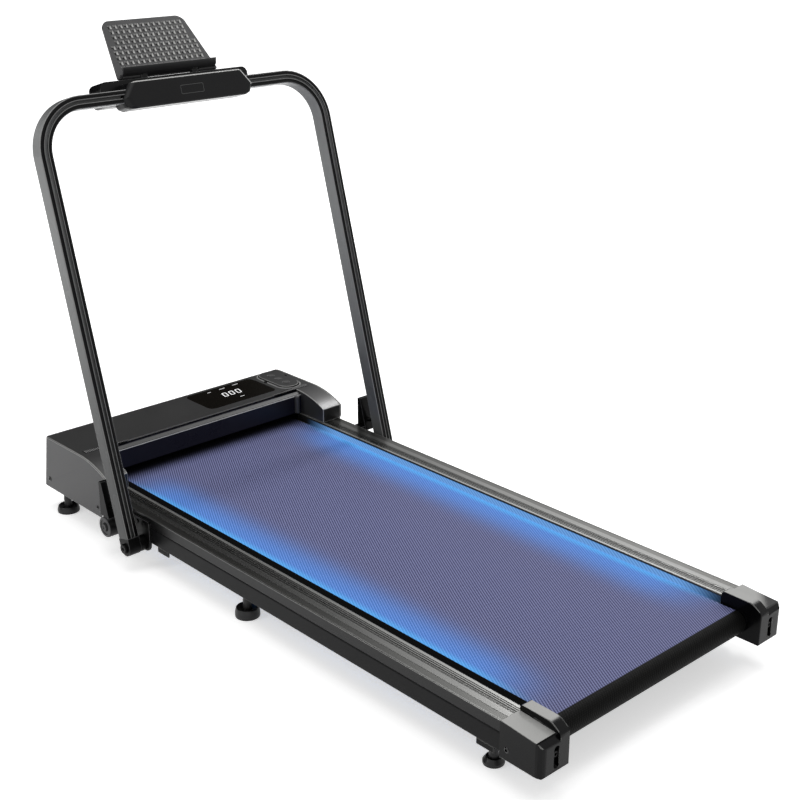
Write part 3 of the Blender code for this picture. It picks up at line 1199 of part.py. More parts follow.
def tablet_holder():
    """Dimpled panel with a hooked ledge and its pivot pins, built in (x, along, out) about
    the hinge line and turned onto it."""
    top = HOLDER_FOOT + HOLDER_LONG
    deep = HOLDER_THICK / 2
    outline = fillet([(-HOLDER_LOW_HALF, HOLDER_FOOT), (HOLDER_LOW_HALF, HOLDER_FOOT),
                      (HOLDER_TOP_HALF, top), (-HOLDER_TOP_HALF, top)],
                     [0.003, 0.003, HOLDER_CORNER, HOLDER_CORNER], 6)
    holder = piece("tablet_holder",
                   plate("z", [outline], -HOLDER_BACK - deep, -HOLDER_BACK + deep), DARK_PLASTIC)
    low, lip, back, root = [(along + HOLDER_FOOT, out) for along, out in LEDGE]
    tray = [(HOLDER_FOOT + 0.0002, -HOLDER_BACK), (low[0] + 0.0002, low[1]), lip, back, root,
            (root[0], -HOLDER_BACK)]
    fuse(holder, plate("x", [tray], -LEDGE_HALF, LEDGE_HALF))
    knuckle = LUG_X[1] + LUG_ROOM
    fuse(holder, *[rod("x", 0, 0, LUG_R, *span(side, knuckle, LEDGE_HALF - 0.001), 16)
                   for side in SIDES.values()])
    room = LUG_R + LUG_ROOM
    cut(holder, *[box(span(side, LUG_X[0] - LUG_ROOM, knuckle), (-0.010, room), (-room, room))
                  for side in SIDES.values()])
    fuse(holder, *[rod("x", 0, 0, TRUNNION_R, *span(side, LUG_X[0] - LUG_ROOM - 0.004, knuckle + 0.004), 12)
                   for side in SIDES.values()])
    cut(holder, *[dimple(x, along, -HOLDER_BACK + deep) for x, along in dimple_places()])
    y, z = leaned(HINGE_Y, BAR_Z + HINGE_Z)
    for item in [holder] + [step.object for step in holder.modifiers]:
        item.location = (0, y, z)
        item.rotation_euler = (pi / 2 - HOLDER_LEAN, 0, 0)
    return holder


for side_name, side_sign in SIDES.items():
    side_tube(side_name, side_sign)
    foot_rail(side_name, side_sign)
    light_strip(side_name, side_sign)
    rear_cap(side_name, side_sign)
    tension_bolt(side_name, side_sign)
    hood_side(side_name, side_sign)
    hinge_bracket(side_name, side_sign)
    pivot_bolt(side_name, side_sign)
    post_foot(side_name, side_sign)
    stop_bracket(side_name, side_sign)
    transport_wheel(side_name, side_sign)
    for place in FOOT_Y:
        levelling_foot(place, side_name, side_sign)

for place, member_y in MEMBER_Y.items():
    cross_member(place, member_y)

deck()
axles()
roller("front_roller", FRONT_ROLLER_Y)
roller("rear_roller", REAR_ROLLER_Y)
running_belt()
drive()
hood_cover()
hood_fascia()
hood_floor()
electronics()
remote()
inlet()
handlebar_frame()
console()
tablet_holder()

print("pieces:", len(parts.objects))
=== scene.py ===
# %% [markdown]
# # Dressing a folding treadmill
#
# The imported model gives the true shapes, sizes and joints. This lesson adds what the eye
# expects: moulded plastic, brushed aluminium, a woven belt with light along its edges, and
# rounder copies of the pieces whose curves show. Everything is in metres, +Z up, +Y toward
# the motor hood and +X to the user's right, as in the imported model.

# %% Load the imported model
import json
from math import cos, pi, radians, sin

import bmesh
import bpy
import numpy as np
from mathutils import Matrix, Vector


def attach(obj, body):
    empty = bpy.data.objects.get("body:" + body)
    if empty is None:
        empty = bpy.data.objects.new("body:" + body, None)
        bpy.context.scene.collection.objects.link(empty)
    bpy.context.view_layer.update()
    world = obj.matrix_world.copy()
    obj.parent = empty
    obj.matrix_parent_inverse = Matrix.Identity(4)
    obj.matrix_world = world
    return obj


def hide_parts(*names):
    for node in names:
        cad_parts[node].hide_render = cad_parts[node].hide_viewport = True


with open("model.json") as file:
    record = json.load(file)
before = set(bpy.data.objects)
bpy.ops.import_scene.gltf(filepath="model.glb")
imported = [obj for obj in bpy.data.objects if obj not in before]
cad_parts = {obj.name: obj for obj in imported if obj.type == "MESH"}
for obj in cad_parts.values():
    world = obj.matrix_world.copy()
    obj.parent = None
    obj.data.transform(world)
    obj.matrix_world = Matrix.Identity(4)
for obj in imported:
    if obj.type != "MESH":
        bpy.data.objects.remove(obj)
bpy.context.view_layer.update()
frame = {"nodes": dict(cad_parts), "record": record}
nodes = frame["nodes"]

# %% [markdown]
# ## Camera
#
# The camera is the photograph's: its place, turn and lens were solved from the corners of
# the base. The Standard view keeps colours as they are written.

# %% Camera
CAMERA_PLACE = (-1.3609, -1.5375, 1.0952)
CAMERA_TILT, CAMERA_TURN = radians(68.9368), radians(-42.7755)
LENS_MM, SENSOR_MM = 63.24, 36.0
NEAREST, FARTHEST = 0.05, 60.0


def linked(name, data):
    """An object for some data, linked to the scene."""
    made = bpy.data.objects.new(name, data)
    bpy.context.scene.collection.objects.link(made)
    return made


camera = linked("camera", bpy.data.cameras.new("camera"))
camera.location = CAMERA_PLACE
camera.rotation_euler = (CAMERA_TILT, 0.0, CAMERA_TURN)
camera.data.lens, camera.data.sensor_width = LENS_MM, SENSOR_MM
camera.data.clip_start, camera.data.clip_end = NEAREST, FARTHEST
bpy.context.scene.camera = camera
bpy.context.scene.view_settings.view_transform = "Standard"
print("camera", tuple(round(v, 3) for v in camera.location))

# %% [markdown]
# ## Helpers for nodes
#
# A material is a tree of small nodes, and linking each one by hand takes many lines. One
# helper adds a node and fills its inputs in one call, and short names stand for the steps
# that come back: a product of masks, a soft ramp, a distance from a line.


# %% Colours and node helpers
def linear(code, alpha=1.0):
    """An sRGB hex code as linear light: c/12.92 below 0.04045, else ((c+.055)/1.055)^2.4."""
    srgb = np.array([int(code[i:i + 2], 16) for i in (0, 2, 4)]) / 255
    light = np.where(srgb <= 0.04045, srgb / 12.92, ((srgb + 0.055) / 1.055) ** 2.4)
    return (*light.tolist(), alpha)


WHITE, BLACK = (1, 1, 1, 1), (0, 0, 0, 1)


class Wires:
    """A small helper that adds nodes to one tree and links them by name."""

    def __init__(self, tree):
        self.tree = tree
        self.column = 0

    def add(self, kind, **inputs):
        """A new node with its inputs filled."""
        node = self.tree.nodes.new(kind)
        self.column += 1
        node.location = (self.column % 8 * 180, -(self.column // 8) * 260)
        return self.fill(node, **inputs)

    def fill(self, node, **inputs):
        """Fill a node's inputs, each named by a keyword with underscores for spaces."""
        for name, value in inputs.items():
            self.set(node, name.replace("_", " "), value)
        return node

    def set(self, node, name, value):
        """Fill one input, named or numbered: a value, a colour code or an output."""
        socket = node.inputs[int(name) if name.isdigit() else name]
        if isinstance(value, bpy.types.NodeSocket):
            self.tree.links.new(value, socket)
        else:
            socket.default_value = linear(value) if isinstance(value, str) else value

    def group(self, tree, **inputs):
        """The outputs of a shader group placed in this tree with its inputs filled."""
        node = self.add("ShaderNodeGroup")
        node.node_tree = tree
        return self.fill(node, **inputs).outputs

    def split(self, vector):
        """The three parts of a vector, as outputs X, Y and Z."""
        return self.add("ShaderNodeSeparateXYZ", Vector=vector).outputs

    def math(self, operation, a, b=0.0, clamp=False):
        """One step of arithmetic on two values."""
        node = self.tree.nodes.new("ShaderNodeMath")
        node.operation = operation
        node.use_clamp = clamp
        self.set(node, "0", a)
        self.set(node, "1", b)
        return node.outputs[0]

    def times(self, first, *others):
        """The product of several values, such as masks."""
        for other in others:
            first = self.math("MULTIPLY", first, other)
        return first

    def flipped(self, value):
        """One less the value, which turns a mask inside out."""
        return self.math("SUBTRACT", 1.0, value)

    def off(self, value, middle):
        """How far a value is from a middle, on either side."""
        return self.math("ABSOLUTE", self.math("SUBTRACT", value, middle))

    def mix(self, share, one, two, blend="MIX"):
        """Two colours mixed by a share from 0 to 1."""
        node = self.tree.nodes.new("ShaderNodeMix")
        node.data_type = "RGBA"
        node.blend_type = blend
        for place, value in (("0", share), ("6", one), ("7", two)):
            self.set(node, place, value)
        return node.outputs[2]

    def ramp(self, value, low, high, to_low=0.0, to_high=1.0, kind="SMOOTHSTEP"):
        """A value carried from one range to another with soft ends."""
        node = self.tree.nodes.new("ShaderNodeMapRange")
        node.interpolation_type = kind
        for name, number in (("Value", value), ("From Min", low), ("From Max", high),
                             ("To Min", to_low), ("To Max", to_high)):
            self.set(node, name, number)
        return node.outputs[0]

    def raise_surface(self, shader, height, depth):
        """Fine relief: a height from 0 to 1 over a depth in metres tilts the normal."""
        bump = self.add("ShaderNodeBump", Strength=1.0, Distance=depth, Height=height)
        self.set(shader, "Normal", bump.outputs[0])


def principled(name):
    """A material, the helper for its nodes, its Principled shader and its coordinates."""
    made = bpy.data.materials.new(name)
    made.use_nodes = True
    wires = Wires(made.node_tree)
    shader = made.node_tree.nodes["Principled BSDF"]
    return made, wires, shader, wires.add("ShaderNodeTexCoord").outputs


# %% [markdown]
# ## Floor, world and lamps
#
# A product picture like this one is lit by big soft panels over a white floor. The floor
# and the world look white to the camera and in reflections, but they light the object only
# a little, so the dark pieces keep their colour and the floor keeps the shadow.

# %% Floor and world
FLOOR_REACH = 14.0
PAPER, WHITE_PAPER = (0.62, 0.62, 0.62, 1), (0.92, 0.92, 0.92, 1)
NEAR_LIFT, FAR_LIFT = 0.54, 1.0
LIFT_FROM, LIFT_TO = 0.7, 2.2
WORLD_LIGHT = 0.42


def bare_material(name):
    """An empty material and a helper that adds nodes to it."""
    made = bpy.data.materials.new(name)
    made.use_nodes = True
    made.node_tree.nodes.clear()
    return made, Wires(made.node_tree)


def studio_sheet(name, points, faces, paint):
    """A sheet of the studio, which is no piece of the object."""
    mesh = bpy.data.meshes.new(name)
    mesh.from_pydata(points, [], faces)
    mesh.materials.append(paint)
    return linked(name, mesh)


def shows_backdrop(wires):
    """1 for the rays that show the backdrop: from the camera, a reflection or glass."""
    path = wires.add("ShaderNodeLightPath").outputs
    seen = wires.math("ADD", path["Is Camera Ray"], path["Is Transmission Ray"], True)
    return wires.math("ADD", seen, path["Is Glossy Ray"], True)


floor_paint, wires = bare_material("floor_paper")
paper = wires.add("ShaderNodeBsdfDiffuse", Color=PAPER)
white_paper = wires.add("ShaderNodeBsdfDiffuse", Color=WHITE_PAPER)
away = wires.add("ShaderNodeVectorMath",
                 Vector=wires.add("ShaderNodeTexCoord").outputs["Object"])
away.operation = "LENGTH"
fade = wires.ramp(away.outputs["Value"], LIFT_FROM, LIFT_TO, NEAR_LIFT, FAR_LIFT)
lift = wires.add("ShaderNodeEmission", Color=WHITE, Strength=fade)
both = wires.add("ShaderNodeAddShader")
pick = wires.add("ShaderNodeMixShader")
for node, place, source in ((both, "0", white_paper), (both, "1", lift),
                            (pick, "1", paper), (pick, "2", both)):
    wires.set(node, place, source.outputs[0])
wires.set(pick, "0", shows_backdrop(wires))
wires.add("ShaderNodeOutputMaterial", Surface=pick.outputs[0])
floor_corners = [(FLOOR_REACH * x, FLOOR_REACH * y, 0)
                 for x, y in ((-1, -1), (1, -1), (1, 1), (-1, 1))]
floor = studio_sheet("floor", floor_corners, [(0, 1, 2, 3)], floor_paint)

world = bpy.data.worlds.new("studio")
bpy.context.scene.world = world
world.use_nodes = True
world.node_tree.nodes.clear()
wires = Wires(world.node_tree)
strength = wires.ramp(shows_backdrop(wires), 0.0, 1.0, WORLD_LIGHT, 1.0, "LINEAR")
sky = wires.add("ShaderNodeBackground", Color=WHITE, Strength=strength)
wires.add("ShaderNodeOutputWorld", Surface=sky.outputs[0])
print("floor and world ready")

# %% Lamps
# Each lamp: its name, place, the point it looks at, its two sides in metres, its watts.
LAMPS = (
    ("overhead_panel", (-0.2, 0.1, 2.9), (0.0, 0.0, 0.1), (2.4, 2.4), 30),
    ("left_strip", (-2.3, 0.9, 1.7), (0.0, 0.1, 0.2), (0.35, 1.9), 11),
    ("right_strip", (2.3, -0.5, 1.7), (0.1, -0.3, 0.1), (0.35, 2.0), 12),
    ("arm_strip", (2.0, 0.95, 2.5), (0.23, 0.42, 0.12), (0.30, 0.9), 28),
)
for name, place, aim, sides, watts in LAMPS:
    panel = bpy.data.lights.new(name, "AREA")
    panel.shape = "RECTANGLE"
    panel.size, panel.size_y = sides
    panel.energy = watts
    lamp = linked(name, panel)
    lamp.location = place
    lamp.rotation_euler = (Vector(aim) - Vector(place)).to_track_quat("-Z", "Y").to_euler()
print("lamps", [name for name, *_ in LAMPS])

# %% [markdown]
# ### Studio wall
#
# What makes black plastic and dark metal readable is what they reflect. The studio wall is
# a curved sheet on the far side that only reflections see. Its brightness is a gradient
# along its angle, so that the front half of the flat tops mirrors the dark part and the
# rear half mirrors the bright part, as the photograph shows.

# %% Studio wall
WALL_RADIUS, WALL_LOW, WALL_HIGH = 4.2, 0.05, 4.6
WALL_FROM, WALL_TO, WALL_LINES = -70, 150, 45
DARK_UNTIL, BRIGHT_FROM = radians(33), radians(53)
DARK_GLOW, BRIGHT_GLOW = 0.02, 0.98
wall_paint, wires = bare_material("wall_gradient")
place = wires.split(wires.add("ShaderNodeTexCoord").outputs["Object"])
bearing = wires.math("ARCTAN2", place["X"], place["Y"])
glow = wires.ramp(bearing, DARK_UNTIL, BRIGHT_FROM, DARK_GLOW, BRIGHT_GLOW)
card = wires.add("ShaderNodeEmission", Color=WHITE, Strength=glow)
wires.add("ShaderNodeOutputMaterial", Surface=card.outputs[0])
turn = np.radians(np.linspace(WALL_FROM, WALL_TO, WALL_LINES))
wall_points = np.stack([
    np.outer(np.sin(turn), np.ones(2)) * WALL_RADIUS,
    np.outer(np.cos(turn), np.ones(2)) * WALL_RADIUS,
    np.outer(np.ones(turn.size), [WALL_LOW, WALL_HIGH])], axis=-1).reshape(-1, 3)
row = np.arange(turn.size - 1) * 2
wall_faces = np.stack([row, row + 2, row + 3, row + 1], axis=1)
wall = studio_sheet("studio_wall", wall_points.tolist(), wall_faces.tolist(), wall_paint)
wall.visible_camera = False
wall.visible_shadow = False
wall.visible_diffuse = False
print("studio wall", len(wall_faces), "panels")

# %% [markdown]
# ## Shader groups
#
# Three effects come back on nearly every piece. Moulded plastic and powder paint have a
# very fine grain that breaks up highlights. Real edges are never perfectly sharp: they
# catch light and wear a little paler, and here both are painted as one paler edge colour,
# part wear and part painted highlight. And some pieces change their finish with the way
# that a face looks. Each effect is built once as a node group and placed in every material
# with its own values.


# %% Group: fine grain
def new_group(name, inputs, outputs):
    """An empty shader group with named sockets: (name, socket type, default)."""
    tree = bpy.data.node_groups.new(name, "ShaderNodeTree")
    for label, kind, value in inputs:
        socket = tree.interface.new_socket(label, in_out="INPUT", socket_type=kind)
        if value is not None:
            socket.default_value = value
    for label, kind in outputs:
        tree.interface.new_socket(label, in_out="OUTPUT", socket_type=kind)
    wires = Wires(tree)
    return tree, wires, wires.add("NodeGroupInput").outputs, wires.add("NodeGroupOutput")


FLOAT, VECTOR = "NodeSocketFloat", "NodeSocketVector"
CLOUDS_PER_M = 14.0

grain_group, wires, given, result = new_group(
    "fine_grain", [("Position", VECTOR, None), ("Size", FLOAT, 0.0006)],
    [("Height", FLOAT), ("Tone", FLOAT)])
per_metre = wires.math("DIVIDE", 1.0, given["Size"])
speck = wires.add("ShaderNodeTexNoise", Vector=given["Position"], Scale=per_metre,
                  Detail=2.0, Roughness=0.6)
cloud = wires.add("ShaderNodeTexNoise", Vector=given["Position"], Scale=CLOUDS_PER_M,
                  Detail=4.0, Roughness=0.55)
wires.fill(result, Height=speck.outputs[0], Tone=cloud.outputs[0])

# %% Group: worn and lit edges, wear and painted highlight
PATCHES_PER_M = 60.0
WORN_AND_LIT_RANGE = (0.30, 0.62)
edge_group, wires, given, result = new_group(
    "edge_wear_and_highlight", [("Position", VECTOR, None), ("Mark", FLOAT, 0.0), ("Evenness", FLOAT, 0.0)],
    [("Edge", FLOAT)])
patchy = wires.add("ShaderNodeTexNoise", Vector=given["Position"], Scale=PATCHES_PER_M,
                   Detail=4.0, Roughness=0.6)
# Edges turn pale in patches, more evenly as Evenness rises: wear together with a painted
# highlight.
worn_and_lit = wires.math("MAXIMUM", wires.ramp(patchy.outputs[0], *WORN_AND_LIT_RANGE), given["Evenness"])
wires.fill(result, Edge=wires.times(given["Mark"], worn_and_lit))

# %% Group: which way a face looks
# LEAN is the handlebar's lean toward the hood. A userward face looks toward the user and,
# by the same angle, up, as the front of the leaning posts does.
LEAN = radians(15.70)
SIDEWAYS_RANGE, LEVEL_RANGE, USERWARD_RANGE = (0.80, 0.95), (0.93, 0.985), (0.75, 0.92)
facing_group, wires, given, result = new_group(
    "facing", [("Normal", VECTOR, None)],
    [("Level", FLOAT), ("Sideways", FLOAT), ("Userward", FLOAT)])
look = wires.split(given["Normal"])
toward = wires.add("ShaderNodeVectorMath", Vector=given["Normal"])
toward.operation = "DOT_PRODUCT"
toward.inputs[1].default_value = (0.0, -cos(LEAN), sin(LEAN))
wires.fill(result, Level=wires.ramp(look["Z"], *LEVEL_RANGE),
           Sideways=wires.ramp(wires.math("ABSOLUTE", look["X"]), *SIDEWAYS_RANGE),
           Userward=wires.ramp(toward.outputs["Value"], *USERWARD_RANGE))
print("groups", [group.name for group in bpy.data.node_groups])

# %% [markdown]
# ## Finishes
#
# One function makes a finish from plain words: the colour, how rough it is, how coarse its
# grain, how far edges turn toward a paler colour of wear and painted highlight. Metal gets
# long brushed streaks in place of round specks, because its pattern is stretched along one
# axis. Some pieces carry two finishes: the end caps are pale on faces that look up, over black
# sides, and the post feet have grey side faces beside a black front. These follow the
# direction that a face looks in.

# %% Finish maker
# The ranges of the cloud and of the grain that their ramps read.
CLOUD_RANGE, GRAIN_RANGE = (0.3, 0.7), (0.2, 0.8)


def shaded(colour, share, lift=0.0):
    """A colour times a share, plus a lift, at most 1."""
    return tuple(min(1.0, part * share + lift) for part in colour[:3]) + (1,)


def worn_and_lit_edges(wires, place, evenness):
    """Paleness of an edge at a place, from wearing and a painted highlight: the mesh's edge
    mark, broken up in patches.
    """
    mark = wires.add("ShaderNodeAttribute")
    mark.attribute_name = "edge"
    return wires.group(edge_group, Position=place, Mark=mark.outputs["Fac"],
                       Evenness=evenness)["Edge"]


def finish(name, code, rough, metal=0.0, grain=0.0006, depth=0.000008, tone=0.10, worn_and_lit=None,
           wear_and_highlight=0.35, even=0.0, brush=None, level=0.22, second=None, where="Level",
           variation=0.08):
    """A Principled material: colour varied by a slow cloud, roughness by the same cloud,
    height by fine grain, and edges mixed toward a paler colour for wearing and a painted
    highlight. second is the colour and the roughness of the faces that look the named way."""
    made, wires, shader, coords = principled(name)
    place = streaks = coords["Object"]
    if brush is not None:
        streaks = wires.add("ShaderNodeMapping", Vector=place, Scale=brush).outputs[0]
    fine = wires.group(grain_group, Position=streaks, Size=grain)
    base = linear(code)
    paint = wires.mix(wires.ramp(fine["Tone"], *CLOUD_RANGE), shaded(base, 1 - tone),
                      shaded(base, 1 + tone))
    rough_now = wires.ramp(fine["Tone"], *CLOUD_RANGE, rough - variation / 2,
                           rough + variation / 2)
    if second:
        second_code, second_rough = second
        share = wires.group(facing_group, Normal=coords["Normal"])[where]
        paint = wires.mix(share, paint, second_code)
        rough_now = wires.ramp(share, 0.0, 1.0, rough_now, second_rough, "LINEAR")
    if brush is not None:
        streak = wires.ramp(fine["Height"], *GRAIN_RANGE, 0.88, 1.12)
        paint = wires.mix(1.0, paint, streak, "MULTIPLY")
    # The pale edge colour stands for wear and a painted highlight.
    pale = worn_and_lit or shaded(base, 2.2, 0.012)
    paint = wires.mix(wires.times(worn_and_lit_edges(wires, place, even), wear_and_highlight), paint, pale)
    wires.fill(shader, Base_Color=paint, Roughness=rough_now, Metallic=metal,
               Specular_IOR_Level=level)
    wires.raise_surface(shader, fine["Height"], depth)
    return made


# %% [markdown]
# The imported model's record names a finish for each piece. The table gives their values,
# and one more finish for the console. Belt, rails and light strips get their own cells,
# because their patterns follow their shapes. A brush stretches the grain along the axes
# whose share is small.

# %% Table of finishes
ALONG_BELT, ALONG_DECK, ROUND_AXLE = (1.0, 0.03, 1.0), (1.0, 0.06, 1.0), (1.0, 0.05, 0.05)
# Each finish's pale edge colour below stands for wear and a painted highlight.
finishes = {
    "tube_paint": finish("tube_powder_coat", "0f0f10", 0.36, level=0.10, worn_and_lit="8a8a88",
                         wear_and_highlight=0.7, even=0.6, grain=0.0009, depth=0.00003),
    # Faces that look up are pale grey, over black sides.
    "cap_plastic": finish("cap_black_pale_on_top", "070708", 0.24, worn_and_lit="a0a09e", wear_and_highlight=0.6,
                          even=0.7, level=0.14, second=("a2a2a0", 0.44), where="Level"),
    "hood_plastic": finish("hood_moulded_plastic", "343434", 0.30, grain=0.0005, level=0.50,
                           tone=0.03, variation=0.02, worn_and_lit="a4a4a2", wear_and_highlight=0.9, even=0.9,
                           second=("0d0d0e", 0.30), where="Userward"),
    "side_plastic": finish("side_moulded_plastic", "424243", 0.38, grain=0.0005, level=0.30,
                           tone=0.04, variation=0.03, worn_and_lit="a4a4a2", wear_and_highlight=0.9, even=0.9),
    "fascia_plastic": finish("fascia_smoked_plastic", "14131c", 0.30, grain=0.0005, level=0.2,
                             worn_and_lit="a8a8a8", wear_and_highlight=0.8, even=0.9),
    "dark_plastic": finish("dark_moulded_plastic", "0d0d0e", 0.27, level=0.14, worn_and_lit="6a6a6a",
                           even=0.5),
    "console_plastic": finish("console_plastic", "0d0d0e", 0.24, level=0.17, tone=0.04,
                              variation=0.02, worn_and_lit="c4c4c2", wear_and_highlight=0.9, even=1.0),
    "gloss_black": finish("window_gloss", "100e0b", 0.14, grain=0.0004, depth=0.000004,
                          tone=0.05, variation=0.03, level=0.12, wear_and_highlight=0.1),
    "key_plastic": finish("key_satin_plastic", "4c4c4c", 0.40, grain=0.0005, worn_and_lit="8a8a8a"),
    "foot_rubber": finish("foot_rubber", "1c1c1d", 0.38, grain=0.0007, depth=0.00002,
                          level=0.35, worn_and_lit="6a6a6a", wear_and_highlight=0.5, even=0.4),
    "cushion_rubber": finish("cushion_rubber", "262626", 0.80, grain=0.0012, depth=0.0001),
    "deck_wood": finish("deck_board_edge", "1b1510", 0.62, grain=0.0012,
                        brush=ALONG_DECK, depth=0.00006, tone=0.25),
    "steel": finish("turned_steel", "9a9c9e", 0.30, 1.0, grain=0.0003, brush=ROUND_AXLE,
                    tone=0.08, worn_and_lit="d8d8d8"),
    "black_steel": finish("black_oxide_steel", "090909", 0.30, grain=0.0007, level=0.10,
                          worn_and_lit="7a7a7c", wear_and_highlight=0.6, even=0.5),
    "post_metal": finish("post_satin_paint", "474848", 0.34, grain=0.0005, level=0.30,
                         depth=0.00001, worn_and_lit="a6a6a4", wear_and_highlight=0.8, even=0.9,
                         second=("0b0b0c", 0.26), where="Userward"),
    "board_green": finish("circuit_board", "1d4a32", 0.45, grain=0.001, depth=0.00002),
    "motor_paint": finish("motor_enamel", "26282b", 0.38, grain=0.0008, level=0.5),
    "wheel_plastic": finish("wheel_nylon", "1f1f20", 0.42, second=("4a4a4b", 0.4),
                            where="Sideways", worn_and_lit="7a7a7a"),
}
print("finishes", len(finishes))

# %% [markdown]
# ### Foot rails
#
# The rail is an aluminium extrusion. From the belt outward it has a black lip of painted
# shade, a pale strip, four fine grooves, a sunk band and a pale outer edge of wear and
# painted highlight. The grooves' dark is painted shade, set by the distance from the inner
# wall, about 1.4 mm wide, which keeps them crisp. The outer face of the rail is black like
# the tube under it.

# %% Rail stripes
RAIL_IN, RAIL_OUT = 0.2125, 0.256
LIP_SHADE, PALE_STRIP, OUTER_HALF = (0.0024, 0.0019), (0.0074, 0.0066), (0.024, 0.028)
GROOVES, GROOVE_EDGE = (0.0076, 0.0117, 0.0159, 0.0200), (0.0010, 0.0004)
BAND_FROM, BAND_TO, BAND_EDGE = 0.031, 0.041, 0.0004
RAIL_WIDE = RAIL_OUT - RAIL_IN
rail_paint, wires, shader, coords = principled("rail_brushed_aluminium")
place = wires.split(coords["Object"])
streaks = wires.add("ShaderNodeMapping", Vector=coords["Object"], Scale=ALONG_BELT)
fine = wires.group(grain_group, Position=streaks.outputs[0], Size=0.0016)
across = wires.math("SUBTRACT", wires.math("ABSOLUTE", place["X"]), RAIL_IN)
# Painted shade in the grooves: dark lines set by the distance from the inner wall.
grooves = 0.0
for middle in GROOVES:
    groove = wires.ramp(wires.off(across, middle), *GROOVE_EDGE)
    grooves = wires.math("MAXIMUM", groove, grooves)
band = wires.times(wires.ramp(across, BAND_FROM - BAND_EDGE, BAND_FROM + BAND_EDGE),
                   wires.ramp(across, BAND_TO + BAND_EDGE, BAND_TO - BAND_EDGE))
pale_strip = wires.ramp(across, *PALE_STRIP)
# The outer half's edges turn pale: wear and a painted highlight.
outer_wear_and_highlight = wires.times(worn_and_lit_edges(wires, coords["Object"], 0.8),
                         wires.times(wires.ramp(across, *OUTER_HALF), 0.4))
satin = wires.mix(wires.ramp(fine["Height"], *GRAIN_RANGE), "848483", "8e8e8c")
satin = wires.mix(pale_strip, satin, "a2a2a0")
satin = wires.mix(wires.times(band, 0.75), satin, "5a5a58")
satin = wires.mix(wires.times(grooves, 0.9), satin, "1a1a1a")
satin = wires.mix(outer_wear_and_highlight, satin, "8c8c8a")
print("rail", round(RAIL_WIDE, 4), "m wide with", len(GROOVES), "grooves")

# %% Rail finish
OUTER_FACE, BELOW_TOP = (RAIL_WIDE - 0.0006, RAIL_WIDE - 0.0002), (0.0920, 0.0912)
# Black on the rail's outer face, and painted shade on the lip beside the belt.
painted = wires.times(wires.ramp(across, *OUTER_FACE), wires.ramp(place["Z"], *BELOW_TOP))
painted = wires.math("MAXIMUM", painted, wires.times(wires.ramp(across, *LIP_SHADE), 0.97))
metal_share = wires.flipped(wires.times(pale_strip, 0.28))
wires.fill(shader, Base_Color=wires.mix(painted, satin, "0c0c0d"),
           Metallic=wires.times(metal_share, wires.flipped(painted)),
           Roughness=wires.ramp(fine["Tone"], *CLOUD_RANGE, 0.24, 0.30),
           Specular_IOR_Level=0.22)
wires.raise_surface(shader, fine["Height"], 0.0000008)
finishes["rail_metal"] = rail_paint
print("rail finish ready")

# %% [markdown]
# ### Light beside the belt
#
# Two bars of blue light run beside the belt, with the small hot spots of the diodes behind
# a milky cover. Their light on the rail's inner wall and on the narrow margin of the deck
# board is painted light, a glow in those finishes, and the polished wall carries a painted
# reflection of the belt, so the waves of its pattern go on up the wall. The painted light
# fades before the hood and before the end caps.

# %% Painted light on the rail's inner wall
ALONG_PER_M, REFLECTION_WAVES_PER_M = 122.0, 156.0
WAVE_RANGE = (-0.9, 0.9)
INNER_WALL, UNDER_LIP = (0.0006, 0.0002), (0.0916, 0.0900)


def along_run(wires, y, rear=(-0.545, -0.44), front=(0.43, 0.33)):
    """A mask along the belt: it comes in over the rear range and goes over the front one."""
    return wires.times(wires.ramp(y, *rear), wires.ramp(y, *front))


# Painted light on the inner wall: a blue glow under the lip, along the lit run.
lit_wall = wires.times(wires.ramp(across, *INNER_WALL), wires.ramp(place["Z"], *UNDER_LIP),
                       along_run(wires, place["Y"]))
# A painted reflection of the belt's waves going on up the wall.
belt_reflection = wires.math("COSINE", wires.math("SUBTRACT", wires.times(place["Z"], 2 * pi * REFLECTION_WAVES_PER_M),
                                       wires.times(place["Y"], 2 * pi * ALONG_PER_M)))
wall_blue = wires.mix(wires.ramp(belt_reflection, *WAVE_RANGE), "5585c2", "6da2de")
wires.fill(shader, Emission_Color=wires.mix(lit_wall, BLACK, wall_blue), Emission_Strength=1.0)

# %% Light strip finish
DIODE_STEP = 0.0167
glow_paint, wires, shader, coords = principled("light_strip_diodes")
phase = wires.times(wires.split(coords["Object"])["Y"], 2 * pi / DIODE_STEP)
beat = wires.ramp(wires.math("COSINE", phase), -1.0, 1.0)
wires.fill(shader, Base_Color="c8dcff", Roughness=wires.ramp(beat, 0.0, 1.0, 0.5, 0.35),
           Emission_Color=wires.mix(beat, "2a6ed0", "4a9ae8"), Emission_Strength=1.4)
finishes["light_blue"] = glow_paint

# %% Painted light on the deck board's margin
BELT_EDGE = (0.2030, 0.2040)
tree = finishes["deck_wood"].node_tree
wires, shader = Wires(tree), tree.nodes["Principled BSDF"]
place = wires.split(wires.add("ShaderNodeTexCoord").outputs["Object"])
# Painted light on the margin beside the belt.
margin = wires.ramp(wires.math("ABSOLUTE", place["X"]), *BELT_EDGE)
lit_margin = wires.times(margin, along_run(wires, place["Y"]))
wires.fill(shader, Emission_Color=wires.mix(lit_margin, BLACK, "5b9ce6"), Emission_Strength=1.0)
print("rail, light strip and deck ready")

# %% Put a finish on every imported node
slot_of = {entry["node"]: entry["material_slot"] for entry in frame["record"]["subparts"]}
for node, slot in slot_of.items():
    if node.startswith("tension_bolt"):
        slot = "black_steel"
    nodes[node].data.materials.clear()
    nodes[node].data.materials.append(finishes.get(slot, finishes["dark_plastic"]))
print("dressed", len(slot_of), "nodes")

# %% [markdown]
# ## Making surfaces with arrays
#
# New pieces are grids: one index runs round a profile and the other along a path or an
# edge. All points are worked out at once, then the grid's quads are made from the same
# indices. A loop drawn in along its own normals gives the rounded rim of a moulded plate.


